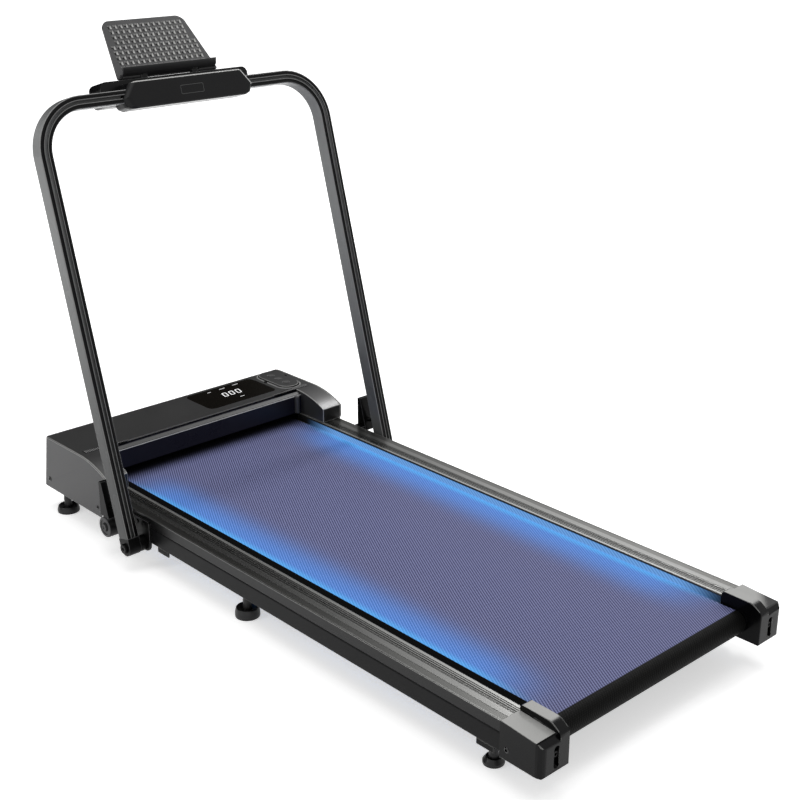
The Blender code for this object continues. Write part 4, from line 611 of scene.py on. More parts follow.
# %% Mesh helpers
def dressed(name, mesh, body, slot, paint=None, stands_for=(), soft=35.0):
    """An object for a mesh: smooth below an angle, shaded evenly, riding on a body."""
    mesh.polygons.foreach_set("use_smooth", np.ones(len(mesh.polygons), bool))
    mesh.set_sharp_from_angle(angle=radians(soft))
    mesh.materials.append(paint or finishes[slot])
    made = linked(name, mesh)
    even = made.modifiers.new("even_shading", "WEIGHTED_NORMAL")
    even.keep_sharp = True
    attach(made, body)
    if stands_for:
        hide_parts(*stands_for)
    return made


def make(name, shell, body, slot, paint=None, stands_for=(), uv=None):
    """A mesh object from a shell, which is an array of points and a list of faces.

    Each closed shell has its faces turned outward; uv has one row for each face corner.
    """
    points, faces = shell
    mesh = bpy.data.meshes.new(name)
    mesh.from_pydata(np.asarray(points).reshape(-1, 3).tolist(), [], faces)
    if uv is not None:
        layer = mesh.uv_layers.new(name="surface")
        layer.data.foreach_set("uv", np.asarray(uv, np.float32).ravel())
    work = bmesh.new()
    work.from_mesh(mesh)
    bmesh.ops.recalc_face_normals(work, faces=work.faces)
    work.to_mesh(mesh)
    work.free()
    return dressed(name, mesh, body, slot, paint, stands_for)


def grid_faces(rows, columns, round_rows=False, caps=True):
    """Quads of a grid whose columns close on themselves. Its rows may close too. Where they
    don't, one face caps each end, unless caps is off."""
    i = np.arange(rows if round_rows else rows - 1)[:, None]
    left = np.arange(columns)[None, :]
    right = (left + 1) % columns
    below, above = i * columns, (i + 1) % rows * columns
    quads = np.stack([below + left, below + right, above + right, above + left], axis=-1)
    faces = quads.reshape(-1, 4).tolist()
    if caps and not round_rows:
        faces.append(list(range(columns))[::-1])
        faces.append(list(range((rows - 1) * columns, rows * columns)))
    return faces


def together(shells):
    """Several shells as one list of points and faces."""
    points, faces, start = [], [], 0
    for shell_points, shell_faces in shells:
        points.append(np.asarray(shell_points).reshape(-1, 3))
        faces += [[index + start for index in face] for face in shell_faces]
        start += len(points[-1])
    return np.concatenate(points), faces


# %% Loop helpers
# Added to a length before it divides, so that it is never zero.
TINY = 1e-12


def rounded(corners, radii, steps=6):
    """A closed loop whose corners are arcs: each arc touches both sides at r/tan(half)."""
    corners = np.asarray(corners, float)
    radii = np.broadcast_to(radii, len(corners))
    back = np.roll(corners, 1, 0) - corners
    ahead = np.roll(corners, -1, 0) - corners
    back /= np.linalg.norm(back, axis=1, keepdims=True)
    ahead /= np.linalg.norm(ahead, axis=1, keepdims=True)
    half = np.arccos(np.clip((back * ahead).sum(1), -1, 1)) / 2
    middle = corners + (back + ahead) / np.linalg.norm(back + ahead, axis=1)[:, None] \
        * (radii / np.sin(half))[:, None]
    start = corners + back * (radii / np.tan(half))[:, None] - middle
    sense = np.where(back[:, 0] * ahead[:, 1] - back[:, 1] * ahead[:, 0] > 0, -1, 1)
    sweep = (sense * (pi - 2 * half))[:, None] * np.linspace(0, 1, steps + 1)
    spun = np.stack([start[:, :1] * np.cos(sweep) - start[:, 1:] * np.sin(sweep),
                     start[:, :1] * np.sin(sweep) + start[:, 1:] * np.cos(sweep)], axis=-1)
    loops = middle[:, None, :] + spun
    keep = [loops[k] if radii[k] > 0 else corners[k:k + 1] for k in range(len(corners))]
    return np.concatenate(keep)


def box_loop(wide, tall, radius, middle=(0.0, 0.0), slant=0.0):
    """A rounded rectangle about a middle; slant moves its top sideways."""
    half_w, half_t = wide / 2, tall / 2
    loop = rounded([(-half_w, -half_t), (half_w, -half_t), (half_w, half_t),
                    (-half_w, half_t)], radius, 4)
    loop[:, 0] += slant * loop[:, 1]
    return loop + np.asarray(middle)


def anticlockwise(loop):
    """The loop turned, if needed, so that its enclosed area is positive."""
    a, b = loop[:, 0], loop[:, 1]
    area = (a * np.roll(b, -1) - b * np.roll(a, -1)).sum()
    return loop if area > 0 else loop[::-1]


def inset(loop, distance):
    """A loop drawn in: each point moves along the inward bisector of its two sides."""
    ahead = np.roll(loop, -1, 0) - loop
    ahead /= np.linalg.norm(ahead, axis=1, keepdims=True) + TINY
    back = np.roll(ahead, 1, 0)
    normal = np.stack([-(ahead + back)[:, 1], (ahead + back)[:, 0]], axis=1)
    normal /= np.linalg.norm(normal, axis=1, keepdims=True) + TINY
    spread = np.clip((np.stack([-ahead[:, 1], ahead[:, 0]], 1) * normal).sum(1), 0.5, 1)
    return loop + normal * (distance / spread)[:, None]


# %% Plates, rings and turned shapes
AXES = {"x": (1, 2, 0), "y": (2, 0, 1), "z": (0, 1, 2)}


def plate(loop, axis, low, high, rim=0.0008, steps=3):
    """Points and faces of a loop extruded along an axis with quarter-round rims.

    The loop is in (y, z) for x, in (z, x) for y and in (x, y) for z. At an angle t of the
    rim the loop is drawn in by rim*(1-sin t) and stands rim*(1-cos t) from the end.
    """
    loop = anticlockwise(np.asarray(loop, float))
    t = np.linspace(0, pi / 2, steps + 1)
    pairs = [(rim * (1 - np.sin(a)), low + rim * (1 - np.cos(a))) for a in t]
    pairs += [(rim * (1 - np.sin(a)), high - rim * (1 - np.cos(a))) for a in t[::-1]]
    rings = np.zeros((len(pairs), len(loop), 3))
    one, two, three = AXES[axis]
    for k, (draw, level) in enumerate(pairs):
        drawn = inset(loop, draw)
        rings[k, :, one], rings[k, :, two], rings[k, :, three] = drawn[:, 0], drawn[:, 1], level
    return rings.reshape(-1, 3), grid_faces(len(pairs), len(loop))


def ring_plate(outer, inner, axis, low, high):
    """A flat ring between two loops with as many points, from low to high on an axis."""
    one, two, three = AXES[axis]
    ring = np.zeros((len(outer), 4, 3))
    for k, (loop, level) in enumerate(((outer, low), (outer, high), (inner, high),
                                       (inner, low))):
        ring[:, k, one], ring[:, k, two], ring[:, k, three] = loop[:, 0], loop[:, 1], level
    return ring.reshape(-1, 3), grid_faces(len(outer), 4, True)


def lathe(profile, axis, middle, steps):
    """A (radius, height) profile turned about an axis: x = r cos a, y = r sin a.

    The profile has radius 0 at both ends, which become single poles.
    """
    profile = np.asarray(profile, float)
    angle = np.linspace(0, 2 * pi, steps, endpoint=False)
    one, two, three = AXES[axis]
    ring = np.zeros((len(profile) - 2, steps, 3))
    ring[:, :, one] = profile[1:-1, :1] * np.cos(angle)
    ring[:, :, two] = profile[1:-1, :1] * np.sin(angle)
    ring[:, :, three] = profile[1:-1, 1:2]
    poles = np.zeros((2, 3))
    poles[:, three] = profile[[0, -1], 1]
    first, last = len(ring) * steps, len(ring) * steps + 1
    around = np.arange(steps)
    beyond = (around + 1) % steps
    end = first - steps
    faces = grid_faces(len(ring), steps, caps=False)
    faces += np.stack([beyond, around, np.full(steps, first)], 1).tolist()
    faces += np.stack([end + around, end + beyond, np.full(steps, last)], 1).tolist()
    return np.concatenate([ring.reshape(-1, 3), poles]) + np.asarray(middle, float), faces


SIDES = {"left": -1, "right": 1}
TURNED_STEPS, SMALL_STEPS = 64, 32
print("helpers ready")

# %% [markdown]
# ## Running belt
#
# The belt is a flat ribbon round two rollers. A ribbon is a rounded strip of a profile
# carried round a path of two straights and two half circles. A UV map in metres runs along
# and across it, so that the pattern follows the belt round the rollers.

# %% Belt ribbon
ROLLER_Z = 0.0672
REAR_Y, FRONT_Y = -0.5605, 0.478
BELT_IN_R, BELT_OUT_R = 0.0162, 0.0178
BELT_HALF = 0.2035
ARC_STEPS, RUN_STEPS = 28, 60


def stadium(radius):
    """A closed path round both rollers: half circle, straight, half circle, straight."""
    run = np.linspace(REAR_Y, FRONT_Y, RUN_STEPS, endpoint=False)
    rear = np.linspace(pi / 2, 3 * pi / 2, ARC_STEPS, endpoint=False)
    front = np.linspace(-pi / 2, pi / 2, ARC_STEPS, endpoint=False)
    level = np.full(RUN_STEPS, radius)
    return np.concatenate([
        np.stack([REAR_Y + radius * np.cos(rear), ROLLER_Z + radius * np.sin(rear)], 1),
        np.stack([run, ROLLER_Z - level], 1),
        np.stack([FRONT_Y + radius * np.cos(front), ROLLER_Z + radius * np.sin(front)], 1),
        np.stack([run[::-1] + (FRONT_Y - REAR_Y) / RUN_STEPS, ROLLER_Z + level], 1)])


outer, inner = stadium(BELT_OUT_R), stadium(BELT_IN_R)
edge_round = (BELT_OUT_R - BELT_IN_R) / 2
t = np.linspace(-pi / 2, pi / 2, 5)
width = np.concatenate([BELT_HALF - edge_round + edge_round * np.cos(t),
                        -(BELT_HALF - edge_round) - edge_round * np.cos(t)])
share = np.concatenate([(np.sin(t) + 1) / 2, (1 - np.sin(t)) / 2])
ribbon = np.zeros((len(outer), len(width), 3))
ribbon[:, :, 0] = width
ribbon[:, :, 1:] = inner[:, None, :] + (outer - inner)[:, None, :] * share[None, :, None]
belt_faces = grid_faces(len(outer), len(width), True)
step = np.linalg.norm(np.roll(outer, -1, 0) - outer, axis=1)
along = np.concatenate([[0], np.cumsum(step)])
face_i, face_j = np.divmod(np.arange(len(belt_faces)), len(width))
next_j = (face_j + 1) % len(width)
u = np.stack([along[face_i], along[face_i], along[face_i + 1], along[face_i + 1]], 1)
v = np.stack([width[face_j], width[next_j], width[next_j], width[face_j]], 1)
belt_paint, wires, shader, coords = principled("belt_embossed_rubber")
make("belt_ribbon", (ribbon, belt_faces), "base", "belt_rubber", belt_paint,
     ["running_belt"], np.stack([u, v], -1))
print("belt length", round(float(along[-1]), 4), "m")

# %% [markdown]
# ### Belt embossing
#
# The top carries a fine embossed pattern, 4.4 mm by 8.2 mm, which the photograph shows as
# slanting lines. It is the sum of two slanting waves, a strong one and a weak one that
# crosses it. The part that has turned round the rear roller is plain black rubber with
# cross ribs. The belt has tracked a few millimetres to the right, so on the left the pattern
# ends at a black band of painted shade, where the gap beside the rail shows dark.

# %% Belt embossing
ACROSS_PER_M, RIBS_PER_M, SPECKS_PER_M = 228.0, 400, 900.0
STRONG_WAVE, WEAK_WAVE = 0.72, 0.28
TRACKED, WEAVE_HALF, GAP_SHADE_EDGE = 0.0058, 0.1976, 0.0006
WRAP_RANGE, HOOD_SHADE = (-0.5575, -0.5595), (0.452, 0.405)
uv = wires.split(coords["UV"])
place = wires.split(coords["Object"])
run_v = wires.times(uv["Y"], 2 * pi * ACROSS_PER_M)
run_u = wires.times(uv["X"], 2 * pi * ALONG_PER_M)
one_way = wires.math("COSINE", wires.math("ADD", run_v, run_u))
other_way = wires.math("COSINE", wires.math("SUBTRACT", run_v, run_u))
waves = wires.math("ADD", wires.times(one_way, STRONG_WAVE), wires.times(other_way, WEAK_WAVE))
pip_height = wires.ramp(waves, *WAVE_RANGE)
weave = wires.mix(pip_height, "3b3c5c", "7b7fa6")
# Painted shadow: near the hood the weave darkens to near black, where the hood shades it.
weave = wires.mix(wires.ramp(place["Y"], *HOOD_SHADE), "0c0c12", weave)
ribs = wires.math("COSINE", wires.times(uv["X"], 2 * pi * RIBS_PER_M))
wrap_tone = wires.mix(wires.ramp(ribs, -1.0, 1.0), "030303", "0e0e0d")
# Painted shade: a black band over the belt's left edge, where the gap beside the rail shows
# dark.
gap_shade = wires.ramp(place["X"], TRACKED - WEAVE_HALF + GAP_SHADE_EDGE, TRACKED - WEAVE_HALF - GAP_SHADE_EDGE)
speck = wires.add("ShaderNodeTexNoise", Vector=coords["Object"], Scale=SPECKS_PER_M, Detail=2.0)
relief = wires.math("ADD", wires.times(pip_height, 0.8), wires.times(speck.outputs[0], 0.2))
wires.raise_surface(shader, relief, 0.00025)
print("pattern", round(1 / ACROSS_PER_M, 4), "by", round(1 / ALONG_PER_M, 4), "m")

# %% [markdown]
# ### Light on the belt
#
# The light from the strips is painted on the belt: a glow that fades from both edges, with
# a brighter line at the rim, strongest in the middle of the run. It tints the colour and
# adds a little light of its own.

# %% Painted belt glow and finish
GLOW_FROM, RIM_FROM, GLOW_POWER = 0.079, 0.182, 1.7
TOP_SIDE = (0.0790, 0.0825)
from_middle = wires.off(place["X"], TRACKED)
on_top = wires.times(wires.ramp(place["Z"], *TOP_SIDE), wires.flipped(gap_shade))
lit_run = along_run(wires, place["Y"], (-0.550, -0.400), (0.44, 0.30))
spread = wires.ramp(from_middle, GLOW_FROM, WEAVE_HALF, kind="SMOOTHERSTEP")
glow = wires.times(wires.math("POWER", spread, GLOW_POWER), lit_run, on_top)
rim_glow = wires.times(wires.ramp(from_middle, RIM_FROM, WEAVE_HALF), lit_run, on_top)
tinted = wires.mix(wires.times(glow, 0.50), weave, "4a8fe0")
tinted = wires.mix(wires.times(rim_glow, 0.55), tinted, "58b8f0")
under = wires.mix(on_top, "202022", tinted)
top_or_wrap = wires.mix(wires.ramp(place["Y"], *WRAP_RANGE), under, wrap_tone)
rough_top = wires.ramp(pip_height, 0.0, 1.0, 0.62, 0.48)
lit = wires.mix(pip_height, "0a3a90", "2f86f0")
wires.fill(shader, Base_Color=wires.mix(gap_shade, top_or_wrap, "030303"),
           Roughness=wires.math("MAXIMUM", rough_top, gap_shade), Specular_IOR_Level=0.05,
           Emission_Color=wires.mix(glow, BLACK, lit), Emission_Strength=0.24)
print("belt finish ready")

# %% [markdown]
# ## Softer edges
#
# Moulded and bent pieces have small round edges that catch a line of light. Each imported
# piece below is copied, its doubled points are merged and its flat faces joined, and its
# sharp edges are bevelled. The copy stands in for the imported piece.

# %% Softened copies
bpy.context.view_layer.update()
SHARP, FLAT, MERGED = radians(35.0), radians(1.0), 0.00001
# The box round the display, as x from, x to, y from, y to. No edge in it gets the pale
# edge colour of wear and painted highlight.
WINDOW_BOX = (0.030, 0.195, 0.478, 0.572)
SOFT_EDGES = {
    "hood_cover": 0.0011, "hood_side_left": 0.0008, "hood_side_right": 0.0008,
    "rear_cap_left": 0.0012, "rear_cap_right": 0.0012, "side_tube_left": 0.0008,
    "side_tube_right": 0.0008, "stop_bracket_left": 0.0004, "stop_bracket_right": 0.0004,
    "hinge_bracket_left": 0.0006, "hinge_bracket_right": 0.0006, "inlet_module": 0.0004,
    "foot_rail_left": 0.0004, "foot_rail_right": 0.0004,
}


def softened(node, width, body="base", shortest=0.0025, segments=2, plain=None):
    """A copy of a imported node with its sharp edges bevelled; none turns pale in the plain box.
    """
    source = nodes[node]
    work = bmesh.new()
    work.from_mesh(source.data)
    bmesh.ops.transform(work, matrix=source.matrix_world, verts=work.verts)
    bmesh.ops.remove_doubles(work, verts=work.verts, dist=MERGED)
    bmesh.ops.dissolve_limit(work, angle_limit=FLAT, verts=work.verts, edges=work.edges)
    sharp = [edge for edge in work.edges if len(edge.link_faces) == 2
             and edge.calc_face_angle(0.0) > SHARP and edge.is_convex
             and edge.calc_length() > shortest]
    mark = work.faces.layers.float.new("edge")
    rounded_off = bmesh.ops.bevel(work, geom=sharp, offset=width, offset_type="OFFSET",
                                  segments=segments, profile=0.5, affect="EDGES",
                                  clamp_overlap=False)
    for face in rounded_off["faces"]:
        x, y, z = face.calc_center_median()
        inside = plain and plain[0] < x < plain[1] and plain[2] < y < plain[3]
        face[mark] = 0.0 if inside else 1.0
    bmesh.ops.recalc_face_normals(work, faces=work.faces)
    mesh = bpy.data.meshes.new(node + "_soft")
    work.to_mesh(mesh)
    work.free()
    return dressed(node + "_soft", mesh, body, slot_of[node], stands_for=[node], soft=25.0)


soft_pieces = [softened(node, width, plain=WINDOW_BOX) for node, width in SOFT_EDGES.items()]
soft_pieces.append(softened("console_front_shell", 0.0016, "handlebar", 0.004, segments=3))
soft_pieces += [softened("post_foot_" + side, 0.0006, "handlebar") for side in SIDES]
soft_pieces.append(softened("remote_case", 0.0005, "remote", shortest=0.0))
print("softened", len(soft_pieces))

# %% [markdown]
# ## Handlebar
#
# One tube makes both posts and the crossbar. Its section is 22 mm by 28 mm with rounded
# corners, a deep slot on the user's side and a fine groove on each side of the slot. The
# section is carried round the two bends in small steps. Everything is drawn upright about
# the pivot and then leaned forward.

# %% Handlebar tube
PIVOT_Y, PIVOT_Z = 0.277, 0.043
POST_X, POST_START, POST_STEPS = 0.283, 0.0163, 6
BAR_Z, BEND_R, BEND_STEPS = 0.7153, 0.078, 25
POST_HALF, POST_DEEP, POST_ROUND = 0.011, 0.014, 0.003
SLOT_HALF, SLOT_FLOOR, SLOT_ROUND = 0.00225, -0.008, 0.0004
FINE_MID, FINE_HALF, FINE_FLOOR_HALF, FINE_DEEP = 0.0060, 0.0005, 0.0003, 0.0008


def leaned(points):
    """Upright points in place: y = Py + y' cos a + z sin a, z = Pz - y' sin a + z cos a."""
    x, y, z = np.moveaxis(np.asarray(points, float), -1, 0)
    return np.stack([x, PIVOT_Y + y * cos(LEAN) + z * sin(LEAN),
                     PIVOT_Z - y * sin(LEAN) + z * cos(LEAN)], -1)


bend = np.linspace(0, pi / 2, BEND_STEPS)
rise = np.linspace(POST_START, BAR_Z - BEND_R, POST_STEPS, endpoint=False)
still = np.zeros(POST_STEPS)
half_path = np.concatenate([
    np.stack([still - POST_X, rise, still - 1.0, still], 1),
    np.stack([-POST_X + BEND_R - BEND_R * np.cos(bend), BAR_Z - BEND_R + BEND_R * np.sin(bend),
              -np.cos(bend), np.sin(bend)], 1)])
bar_path = np.concatenate([half_path, half_path[::-1] * [-1, 1, -1, 1]])
fine_groove = [(FINE_MID + FINE_HALF, -POST_DEEP),
               (FINE_MID + FINE_FLOOR_HALF, FINE_DEEP - POST_DEEP),
               (FINE_MID - FINE_FLOOR_HALF, FINE_DEEP - POST_DEEP),
               (FINE_MID - FINE_HALF, -POST_DEEP)]
right_half = [*fine_groove, (SLOT_HALF, -POST_DEEP), (SLOT_HALF, SLOT_FLOOR)]
half_radii = [0, 0, 0, 0, SLOT_ROUND, 0]
user_face = right_half + [(-a, b) for a, b in right_half[::-1]]
corner_loop = [(POST_HALF, POST_DEEP), (POST_HALF, -POST_DEEP), *user_face,
               (-POST_HALF, -POST_DEEP), (-POST_HALF, POST_DEEP)]
corner_radii = [POST_ROUND, POST_ROUND, *half_radii, *half_radii[::-1], POST_ROUND, POST_ROUND]
section = rounded(corner_loop, corner_radii, 5)
tube = np.zeros((len(bar_path), len(section), 3))
tube[:, :, 0] = bar_path[:, None, 0] + bar_path[:, None, 2] * section[None, :, 0]
tube[:, :, 1] = section[None, :, 1]
tube[:, :, 2] = bar_path[:, None, 1] + bar_path[:, None, 3] * section[None, :, 0]
bar_faces = grid_faces(len(bar_path), len(section))
quads = np.array(bar_faces[:-2])
corner_uv = np.zeros((sum(len(face) for face in bar_faces), 2))
corner_uv[:quads.size] = section[quads.ravel() % len(section)]
bar_paint, wires, shader, coords = principled("handlebar_satin_and_black")
make("handlebar_tube", (leaned(tube), bar_faces), "handlebar", "post_metal", bar_paint,
     ["handlebar_frame"], corner_uv)
print("handlebar", len(bar_path), "rings of", len(section))

# %% [markdown]
# ### Handlebar finish
#
# The UV map of the tube holds each point's place in the section, in metres: u across and v
# toward the back. The front face is gloss black, with a painted highlight at each lip of the
# slot and at each corner, and painted shade inside the slot. The other faces are satin grey,
# with painted light that makes them paler up the posts to the bends.

# %% Handlebar finish
FRONT_FACE, IN_SLOT = (-0.0117, -0.0132), (0.0026, 0.0022)
LIP_AT, CORNER_AT, LINE_EDGE = 0.0033, 0.0104, (0.0008, 0.0004)
PALE_FROM, PALE_UNTIL = (0.10, 0.62), (0.745, 0.690)
uv = wires.split(coords["UV"])
height = wires.split(coords["Object"])["Z"]
fine = wires.group(grain_group, Position=coords["Object"], Size=0.0005)
off_middle = wires.math("ABSOLUTE", uv["X"])
# Painted highlights: a bright line at each lip of the slot and at each corner.
lip_highlight = wires.ramp(wires.off(off_middle, LIP_AT), *LINE_EDGE)
corner_highlight = wires.ramp(wires.off(off_middle, CORNER_AT), *LINE_EDGE)
edge_highlights = wires.math("MAXIMUM", wires.times(lip_highlight, 0.7), corner_highlight)
tone = wires.ramp(fine["Tone"], *CLOUD_RANGE)
satin = wires.mix(tone, "555656", "5d5e5e")
# Painted light: paler up the posts to the bends.
posts_painted_light = wires.times(wires.ramp(height, *PALE_FROM), wires.ramp(height, *PALE_UNTIL))
satin = wires.mix(posts_painted_light, satin, "9a9b9b")
front = wires.mix(wires.times(edge_highlights, 0.8), "060607", "a2a2a1")
# Painted shade inside the slot.
front = wires.mix(wires.ramp(off_middle, *IN_SLOT), front, "020202")
wires.fill(shader, Base_Color=wires.mix(wires.ramp(uv["Y"], *FRONT_FACE), satin, front),
           Roughness=wires.ramp(tone, 0.0, 1.0, 0.26, 0.32), Specular_IOR_Level=0.12)
wires.raise_surface(shader, fine["Height"], 0.000002)
print("handlebar finish ready")

# %% [markdown]
# ## Console
#
# The rear shell is a stack of plan loops. Its half width follows the slanting ends, the
# corners toward the user are round (15 mm at the left end, 8 mm at the right), and the top
# and bottom edges are quarter rounds. A thin frame on its face marks the place of a badge,
# which is left bare.

# %% Console rear shell
RIM_Z = (-0.022, -0.018, -0.004, 0.022)
RIM_HALF = (0.116, 0.124, 0.131, 0.1115)
SHELL_FRONT, SHELL_BACK, SHELL_EDGE = 0.002, -0.021, 0.003
SHELL_ROUND = [0, 0.015, 0.008, 0]
levels = np.linspace(RIM_Z[0], RIM_Z[-1], 23)
quarter = np.linspace(0, pi / 2, 6)
climb, draw_in = SHELL_EDGE * (1 - np.cos(quarter)), SHELL_EDGE * (1 - np.sin(quarter))
low_part = np.stack([RIM_Z[0] + climb, draw_in], 1)
high_part = np.stack([RIM_Z[-1] - climb, draw_in], 1)[::-1]
middle = levels[(levels > RIM_Z[0] + SHELL_EDGE) & (levels < RIM_Z[-1] - SHELL_EDGE)]
stack = np.concatenate([low_part, np.stack([middle, np.zeros(middle.size)], 1), high_part])
rings = []
for level, draw in stack:
    wide = np.interp(level, RIM_Z, RIM_HALF)
    plan = rounded([(-wide, SHELL_FRONT), (-wide, SHELL_BACK), (wide, SHELL_BACK),
                    (wide, SHELL_FRONT)], SHELL_ROUND, 10)
    plan = inset(anticlockwise(plan), draw)
    rings.append(np.column_stack([plan, np.full(len(plan), BAR_Z + level)]))
rings = np.array(rings)
shell_faces = grid_faces(len(rings), len(rings[0]))
console = make("console_rear", (leaned(rings), shell_faces), "handlebar", "dark_plastic",
               finishes["console_plastic"], ["console_rear_shell"])
print("console shell", len(rings), "rings of", len(rings[0]))

# %% [markdown]
# A painted highlight runs along the top edge of this shell and down its right end. These
# faces get the edge mark that the finish mixes toward its pale colour.

# %% Console's painted highlights
TOP_LINE, TOP_DEEP, TOP_SHARE = 0.0022, 0.004, 0.8
END_LINE, END_DEEP, END_LOW = 0.0050, 0.007, -0.006
centre = np.array([rings.reshape(-1, 3)[face].mean(0) for face in shell_faces])
centre_x, centre_y, centre_z = centre[:, 0], centre[:, 1], centre[:, 2]
# Painted highlight: the faces along the top edge and down the right end.
top_highlight = (centre_z > BAR_Z + RIM_Z[-1] - TOP_LINE) & (centre_y < SHELL_BACK + TOP_DEEP)
right_end_highlight = (centre_x > np.interp(centre_z - BAR_Z, RIM_Z, RIM_HALF) - END_LINE) \
    & (centre_y < SHELL_BACK + END_DEEP) & (centre_z > BAR_Z + END_LOW)
mark = console.data.attributes.new("edge", "FLOAT", "FACE")
mark.data.foreach_set("value", (top_highlight * TOP_SHARE + right_end_highlight * ~top_highlight).astype(np.float32))
print("bright faces", int((top_highlight | right_end_highlight).sum()), "of", len(shell_faces))

# %% Badge frame
BADGE_HIGH, BADGE_LONG, BADGE_LINE = 0.015, 0.046, 0.0009
BADGE_ROUND, BADGE_ROUND_IN = 0.002, 0.0012
BADGE_MIDDLE = (BAR_Z - 0.001, 0.004)
badge_outer = box_loop(BADGE_HIGH, BADGE_LONG, BADGE_ROUND, BADGE_MIDDLE)
badge_inner = box_loop(BADGE_HIGH - 2 * BADGE_LINE, BADGE_LONG - 2 * BADGE_LINE,
                       BADGE_ROUND_IN, BADGE_MIDDLE)
points, faces = ring_plate(badge_outer, badge_inner, "y", SHELL_BACK - 0.0002,
                           SHELL_BACK + 0.001)
trim_paint = finish("thin_trim", "3a3a3a", 0.35, grain=0.0004, level=0.4)
make("badge_frame", (leaned(points), faces), "handlebar", "dark_plastic", trim_paint)
print("console ready")

# %% [markdown]
# ## Tablet holder
#
# The panel's pockets look like small pyramids pressed into glossy plastic, and their light
# and shade are painted: the wall toward the right gets a painted highlight, the upper wall is
# painted mid grey and the rest is painted shade. Each face of a pocket gets one of three
# finishes by the direction that it looks in.

# %% Tablet holder
STEEPNESS = pi / 2 - radians(41)
panel_out = np.array([0.0, -sin(STEEPNESS), cos(STEEPNESS)])
panel_up = np.array([0.0, cos(STEEPNESS), sin(STEEPNESS)])
HINGE = (0.0, 0.51276, 0.75611)
POCKET_DEEP, POCKET_FROM, POCKET_TO, POCKET_HALF = 0.0019, 0.010, 0.108, 0.096
LOOKS_OUT, LOOKS_ASIDE = 0.2, -0.3
holder = softened("tablet_holder", 0.0006, "tablet_holder", shortest=0.009)
holder.data.materials.clear()
for paint in (
    finish("panel_plastic", "323233", 0.38, grain=0.0005, level=0.24, worn_and_lit="7a7a7a", even=0.6),
    finish("pocket_painted_shade", "030303", 0.30, level=0.05, wear_and_highlight=0.0),
    finish("pocket_painted_highlight", "9c9c9a", 0.30, level=0.50, wear_and_highlight=0.0),
    finish("pocket_painted_half_light", "5c5c5b", 0.34, level=0.40, wear_and_highlight=0.0),
):
    holder.data.materials.append(paint)
count = len(holder.data.polygons)
normals, centres = np.empty(count * 3), np.empty(count * 3)
holder.data.polygons.foreach_get("normal", normals)
holder.data.polygons.foreach_get("center", centres)
normals, centres = normals.reshape(-1, 3), centres.reshape(-1, 3) - np.array(HINGE)
depth, along = centres @ panel_out, centres @ panel_up
pocket = (depth < 0.0) & (depth > -POCKET_DEEP) & (along > POCKET_FROM) & (along < POCKET_TO) \
    & (normals @ panel_out > LOOKS_OUT) & (np.abs(centres[:, 0]) < POCKET_HALF)
# Pocket faces take the painted shade, painted highlight or painted half light by their
# direction.
kind = np.zeros(count, int)
kind[pocket] = 1
kind[pocket & (normals[:, 0] < LOOKS_ASIDE)] = 2
kind[pocket & (normals @ panel_up < LOOKS_ASIDE)] = 3
holder.data.polygons.foreach_set("material_index", kind)
print("pocket faces", int(pocket.sum()), "of", count)

# %% [markdown]
# ## Hood
#
# Behind the flat top there is a black groove, then a narrow band with a bright lip, then
# the smoked wall above the belt. The outlines are sections in (y, z), carried across the
# hood.

# %% Hood fascia
FASCIA_HALF, FINE_RIM = 0.2162, 0.0002
FASCIA_OUTLINE = ((0.4700, 0.1371), (0.4610, 0.1345), (0.4580, 0.1362), (0.4490, 0.1330),
                  (0.4486, 0.1308), (0.4475, 0.0985), (0.4500, 0.0985), (0.4512, 0.1290),
                  (0.4700, 0.1340))
FASCIA_RADII = (0, 0.0005, 0.0006, 0.0009, 0.0009, 0, 0, 0, 0)
LIP_Y, LIP_Z, LIP_R, LIP_STEPS, LIP_SIDES = 0.4486, 0.1322, 0.0008, 40, 10
fascia = plate(rounded(FASCIA_OUTLINE, FASCIA_RADII, 4), "x", -FASCIA_HALF, FASCIA_HALF,
               FINE_RIM, 1)
make("fascia", fascia, "base", "fascia_plastic", stands_for=["hood_fascia"])
lip_round = np.linspace(0, 2 * pi, LIP_SIDES, endpoint=False)
lip = np.zeros((LIP_STEPS, LIP_SIDES, 3))
lip[:, :, 0] = np.linspace(-FASCIA_HALF, FASCIA_HALF, LIP_STEPS)[:, None]
lip[:, :, 1] = LIP_Y + LIP_R * np.cos(lip_round)
lip[:, :, 2] = LIP_Z + LIP_R * np.sin(lip_round)
bright_trim = finish("bright_trim", "a6a6a6", 0.25, grain=0.0004, level=0.5)
make("fascia_lip", (lip, grid_faces(LIP_STEPS, LIP_SIDES)), "base", "fascia_plastic",
     bright_trim)
print("fascia", round(2 * FASCIA_HALF, 4), "m wide")

# %% Band behind the hood top
BAND_OUTLINE = ((0.4580, 0.1366), (0.4498, 0.1337), (0.4495, 0.1326), (0.4580, 0.1352))
BAND_END = FASCIA_HALF - 0.001
top_band = plate(rounded(BAND_OUTLINE, 0.0003, 2), "x", -BAND_END, BAND_END, FINE_RIM, 1)
make("fascia_band", top_band, "base", "hood_plastic")

# %% [markdown]
# ### Ribbed wedges
#
# The wedge at each end of the fascia carries fine ribs, each a small bar that is a little
# longer than the last, on a bed painted black as the shade between them. Below it a short
# pillar closes the fascia's end.

